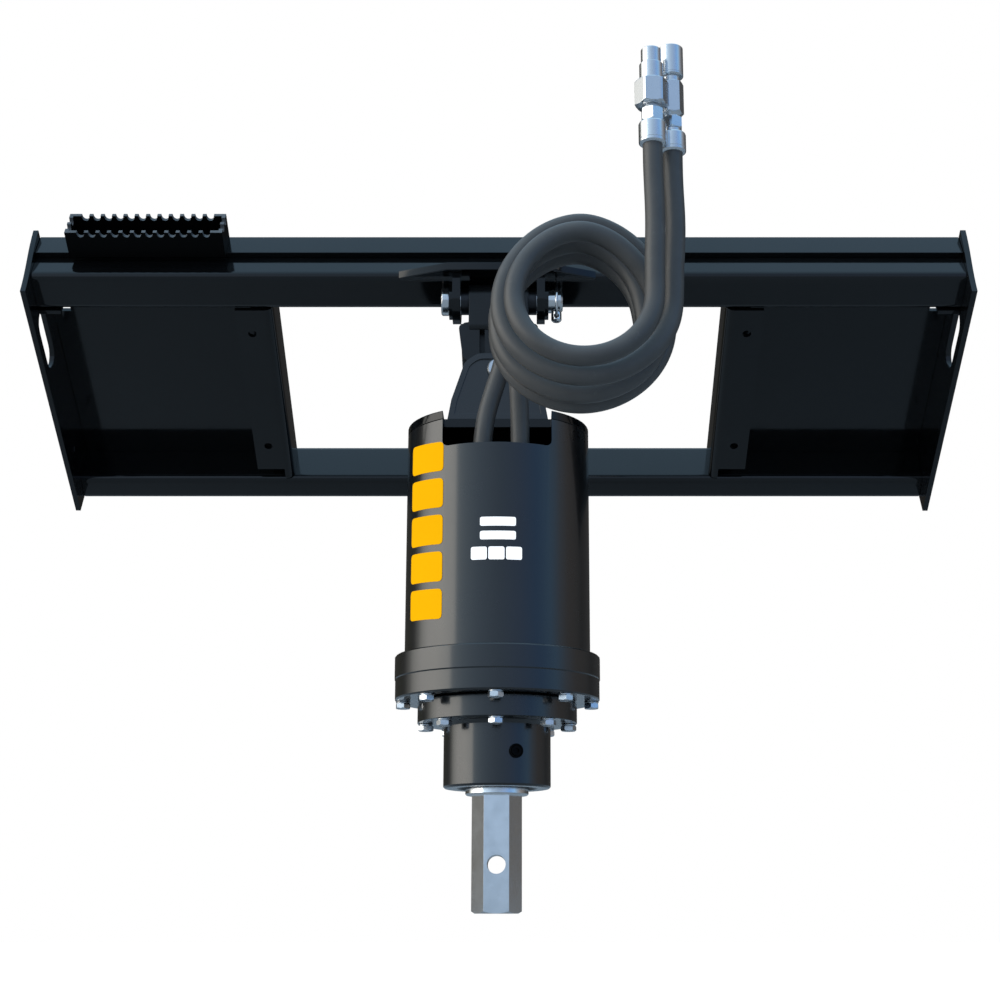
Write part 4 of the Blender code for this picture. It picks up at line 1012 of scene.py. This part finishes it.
BACK_HOSE_UPRIGHT = (
    (0.1971, -0.3203, -0.0018),
    (0.1970, -0.3203, -0.0350),
    (0.1985, -0.3203, -0.0900),
    (0.1958, -0.3203, -0.1400),
)
FRONT_HOSE_TO_HOOD = (
    (0.0250, -0.2420, -0.1960),
    (0.0225, -0.2370, -0.1620),
    (0.0203, -0.2210, -0.1380),
    (0.0190, -0.1960, -0.1290),
    (0.0165, -0.1640, -0.1370),
    (0.0120, -0.1400, -0.1600),
    (0.0045, -0.1300, -0.1900),
    (-0.0040, -0.1305, -0.2175),
    (-0.0125, -0.1325, -0.2480),
    (-0.0170, -0.1338, -0.2810),
    (-0.0170, -0.1343, -0.3220),
)
BACK_HOSE_TO_HOOD = (
    (0.0245, -0.2200, -0.2010),
    (0.0218, -0.2110, -0.1740),
    (0.0207, -0.1890, -0.1555),
    (0.0212, -0.1650, -0.1640),
    (0.0230, -0.1515, -0.1900),
    (0.0250, -0.1475, -0.2175),
    (0.0265, -0.1410, -0.2480),
    (0.0270, -0.1360, -0.2810),
    (0.0270, -0.1343, -0.3220),
)


def smooth_points(points, spacing=0.006):
    """Points every so often along one smooth curve through the given points."""
    route = [Vector(p) for p in points]
    ends = [route[0] * 2 - route[1]] + route + [route[-1] * 2 - route[-2]]
    found = [route[0]]
    for a, b, c, d in zip(ends, ends[1:], ends[2:], ends[3:]):
        steps = max(1, ceil((c - b).length / spacing))
        for k in range(1, steps + 1):
            t = k / steps
            bend = (2 * b + (c - a) * t + (2 * a - 5 * b + 4 * c - d) * t**2) / 2
            found.append(bend + (3 * b - a - 3 * c + d) * t**3 / 2)
    return found


def relaxed(points, rounds=6):
    """Evens out the small kinks of a route and leaves its two ends where they are."""
    for _ in range(rounds):
        middle = [(a + b * 2 + c) / 4 for a, b, c in zip(points, points[1:], points[2:])]
        points = [points[0]] + middle + [points[-1]]
    return points


def hose_curve(name, upright, turns, to_hood):
    """One hose as a round-bevelled curve, from its port fitting up to its coupler."""
    points = list(upright) + wound_turns(turns) + list(to_hood)
    line = relaxed(smooth_points(points))[::-1]
    curve = bpy.data.curves.new(name, "CURVE")
    curve.dimensions = "3D"
    curve.bevel_depth = HOSE / 2
    curve.bevel_resolution = 6
    curve.use_fill_caps = True
    spline = curve.splines.new("POLY")
    spline.points.add(len(line) - 1)
    for slot, point in zip(spline.points, line):
        slot.co = (*point, 1.0)
    spline.use_smooth = True
    curve.materials.append(FINISH["hose_cover"])
    made = bpy.data.objects.new(name, curve)
    made.visible_glossy = False
    scene.collection.objects.link(made)
    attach(made, "drive")
    return made, line


def hose_ends():
    """Ferrules and couplers, returned by side."""
    above_left = LEFT_FERRULE_FOOT + Vector((0, 0, LEFT_FERRULE[1])) + STACK_GAP
    left = [ferrule("left", LEFT_FERRULE_FOOT, *LEFT_FERRULE), male_coupler(above_left)]
    above_right = RIGHT_FERRULE_FOOT + Vector((0, 0, RIGHT_FERRULE[1])) + STACK_GAP
    right = [ferrule("right", RIGHT_FERRULE_FOOT, *RIGHT_FERRULE), female_coupler(above_right)]
    right.append(pull_sleeve(above_right + Vector((0, 0, SLEEVE_FOOT))))
    return left, right


def hoses():
    left_end, right_end = hose_ends()
    front, front_line = hose_curve(
        "hose_front", FRONT_HOSE_UPRIGHT, FRONT_HOSE_TURNS, FRONT_HOSE_TO_HOOD
    )
    back, back_line = hose_curve(
        "hose_back", BACK_HOSE_UPRIGHT, BACK_HOSE_TURNS, BACK_HOSE_TO_HOOD
    )
    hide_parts("hose_left_lower", "hose_left_upper", "hose_coil")
    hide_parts("hose_right_lower", "hose_right_upper", "hose_coil")


hoses()
hex_bolts()
linch_rings()
serrated_step()
wing_plate()
link_block()
link_rear_plate()
turned_pivot_pin()
lowered_plug()
films()


# Finishes of the solids that stay
def slot_of_nodes():
    return {part["node"]: part["material_slot"] for part in frame["record"]["subparts"]}


def soften(piece, width):
    """Rounds the sharp edges of a solid's shown mesh and shades it by its edges."""
    weld = piece.modifiers.new("weld", "WELD")
    weld.merge_threshold = 0.00001
    flat = piece.modifiers.new("flat", "DECIMATE")
    flat.decimate_type = "DISSOLVE"
    flat.angle_limit = radians(0.6)
    if width:
        round_edges(piece, width)
    shade_edges(piece)


EDGE_WIDTH = {"top_beam": 0.0, "lower_rail": 0.0, "step_tread": 0.0005}
COATED = ("hood_shell", "hood_ear_front", "hood_ear_rear", "ring_gear_housing", "output_housing")
UNMIRRORED = ("hitch_ear_left", "hitch_ear_right")


def dress_solids():
    slots = slot_of_nodes()
    for name, piece in nodes.items():
        look = "coated_black" if name in COATED else FINISH_OF_SLOT[slots[name]]
        piece.data.materials.clear()
        piece.data.materials.append(FINISH[look])
        piece.visible_glossy = name not in UNMIRRORED
        soften(piece, EDGE_WIDTH.get(name, SOLID_EDGE))


dress_solids()


# The floor, pale to the eye, keeps the shadow
def stage():
    floor_mesh = bpy.data.meshes.new("floor")
    form = bmesh.new()
    bmesh.ops.create_grid(form, x_segments=1, y_segments=1, size=9.0)
    form.to_mesh(floor_mesh)
    form.free()
    floor = bpy.data.objects.new("floor", floor_mesh)
    floor.location = (0, 0, FLOOR_HEIGHT)
    scene.collection.objects.link(floor)
    paint = bpy.data.materials.new("pale_floor")
    paint.use_nodes = True
    tree = paint.node_tree
    shader = tree.nodes["Principled BSDF"]
    shader.inputs["Base Color"].default_value = (0.35, 0.35, 0.35, 1)
    shader.inputs["Roughness"].default_value = 0.9
    glow = tree.nodes.new("ShaderNodeEmission")
    glow.inputs["Strength"].default_value = 0.93
    lit = tree.nodes.new("ShaderNodeAddShader")
    mix = tree.nodes.new("ShaderNodeMixShader")
    path = tree.nodes.new("ShaderNodeLightPath")
    out = tree.nodes["Material Output"]
    tree.links.new(shader.outputs[0], lit.inputs[0])
    tree.links.new(glow.outputs[0], lit.inputs[1])
    tree.links.new(path.outputs["Is Camera Ray"], mix.inputs["Fac"])
    tree.links.new(shader.outputs[0], mix.inputs[1])
    tree.links.new(lit.outputs[0], mix.inputs[2])
    tree.links.new(mix.outputs[0], out.inputs["Surface"])
    floor_mesh.materials.append(paint)


# The light: a room painted on the sky and one soft box overhead
# Angle round from the camera's side, in degrees towards +X, and the room's colour there
ROUND_THE_ROOM = (
    (-180, (0.04, 0.04, 0.04)),
    (-138, (0.05, 0.05, 0.04)),
    (-124, (0.06, 0.06, 0.057)),
    (-114, (0.40, 0.40, 0.38)),
    (-106, (1.20, 1.20, 1.12)),
    (-92, (2.20, 2.15, 2.05)),
    (-72, (2.70, 2.65, 2.50)),
    (-54, (2.60, 2.60, 2.50)),
    (-50, (0.75, 0.95, 1.12)),
    (-22, (0.47, 0.62, 0.80)),
    (2, (0.34, 0.46, 0.62)),
    (28, (0.27, 0.39, 0.62)),
    (50, (0.19, 0.37, 0.70)),
    (69, (0.28, 0.52, 0.82)),
    (84, (0.30, 0.34, 0.40)),
    (98, (0.23, 0.21, 0.20)),
    (120, (0.11, 0.11, 0.11)),
    (128, (0.06, 0.06, 0.06)),
    (180, (0.04, 0.04, 0.04)),
)
ROOM_BELOW = (0.22, 0.215, 0.21)
ROOM_ABOVE = (0.50, 0.78, 1.05)
ROOM_PEAK = 3.0


def colour_bands(tree, value, stops):
    """A colour ramp over a value from 0 to 1; the stops' colours are kept below 1 by ROOM_PEAK."""
    bands = tree.nodes.new("ShaderNodeValToRGB")
    elements = bands.color_ramp.elements
    for element, (position, colour) in zip(list(elements), (stops[0], stops[-1])):
        element.position = position
        element.color = (*(level / ROOM_PEAK for level in colour), 1)
    for position, colour in stops[1:-1]:
        elements.new(position).color = (*(level / ROOM_PEAK for level in colour), 1)
    tree.links.new(value, bands.inputs["Fac"])
    return bands.outputs["Color"]


def world_light():
    """A studio with a bright left wall, blue before and dark behind, that looks white itself."""
    world = bpy.data.worlds.new("studio")
    scene.world = world
    world.use_nodes = True
    tree = world.node_tree
    tree.nodes.clear()
    out = tree.nodes.new("ShaderNodeOutputWorld")
    seen = tree.nodes.new("ShaderNodeBackground")
    seen.inputs["Color"].default_value = (1, 1, 1, 1)
    room = tree.nodes.new("ShaderNodeBackground")
    room.inputs["Strength"].default_value = ROOM_PEAK
    path = tree.nodes.new("ShaderNodeLightPath").outputs
    place = tree.nodes.new("ShaderNodeTexCoord").outputs["Generated"]
    apart = tree.nodes.new("ShaderNodeSeparateXYZ")
    tree.links.new(place, apart.inputs[0])
    forward = math_node(tree, "MULTIPLY", apart.outputs["Y"], -1.0)
    round_angle = math_node(tree, "ARCTAN2", apart.outputs["X"], forward)
    share = ramp(tree, round_angle, -pi, pi)
    stops = [((angle + 180) / 360, colour) for angle, colour in ROUND_THE_ROOM]
    walls = colour_bands(tree, share, stops)
    below = (*(level / ROOM_PEAK for level in ROOM_BELOW), 1)
    above = (*(level / ROOM_PEAK for level in ROOM_ABOVE), 1)
    lower = mix_colour(tree, ramp(tree, apart.outputs["Z"], -0.12, 0.02), below, walls)
    whole = mix_colour(tree, ramp(tree, apart.outputs["Z"], 0.55, 0.80), lower, above)
    tree.links.new(whole, room.inputs["Color"])
    mix = tree.nodes.new("ShaderNodeMixShader")
    tree.links.new(path["Is Camera Ray"], mix.inputs["Fac"])
    tree.links.new(room.outputs[0], mix.inputs[1])
    tree.links.new(seen.outputs[0], mix.inputs[2])
    tree.links.new(mix.outputs[0], out.inputs["Surface"])


def lamp(name, place, aim, size, radiance, colour):
    """A soft box of this brightness, whatever its size, that no gloss mirrors."""
    data = bpy.data.lights.new(name, "AREA")
    data.shape = "RECTANGLE"
    data.size, data.size_y = size
    data.energy = radiance * pi * size[0] * size[1]
    data.color = colour
    made = bpy.data.objects.new(name, data)
    made.location = place
    made.rotation_euler = (Vector(aim) - Vector(place)).to_track_quat("-Z", "Y").to_euler()
    made.visible_glossy = False
    scene.collection.objects.link(made)


stage()
world_light()
lamp("overhead_box", (-0.8, -0.9, 2.4), (0, -0.1, -0.3), (2.2, 1.8), 0.5, (1.0, 0.98, 0.95))
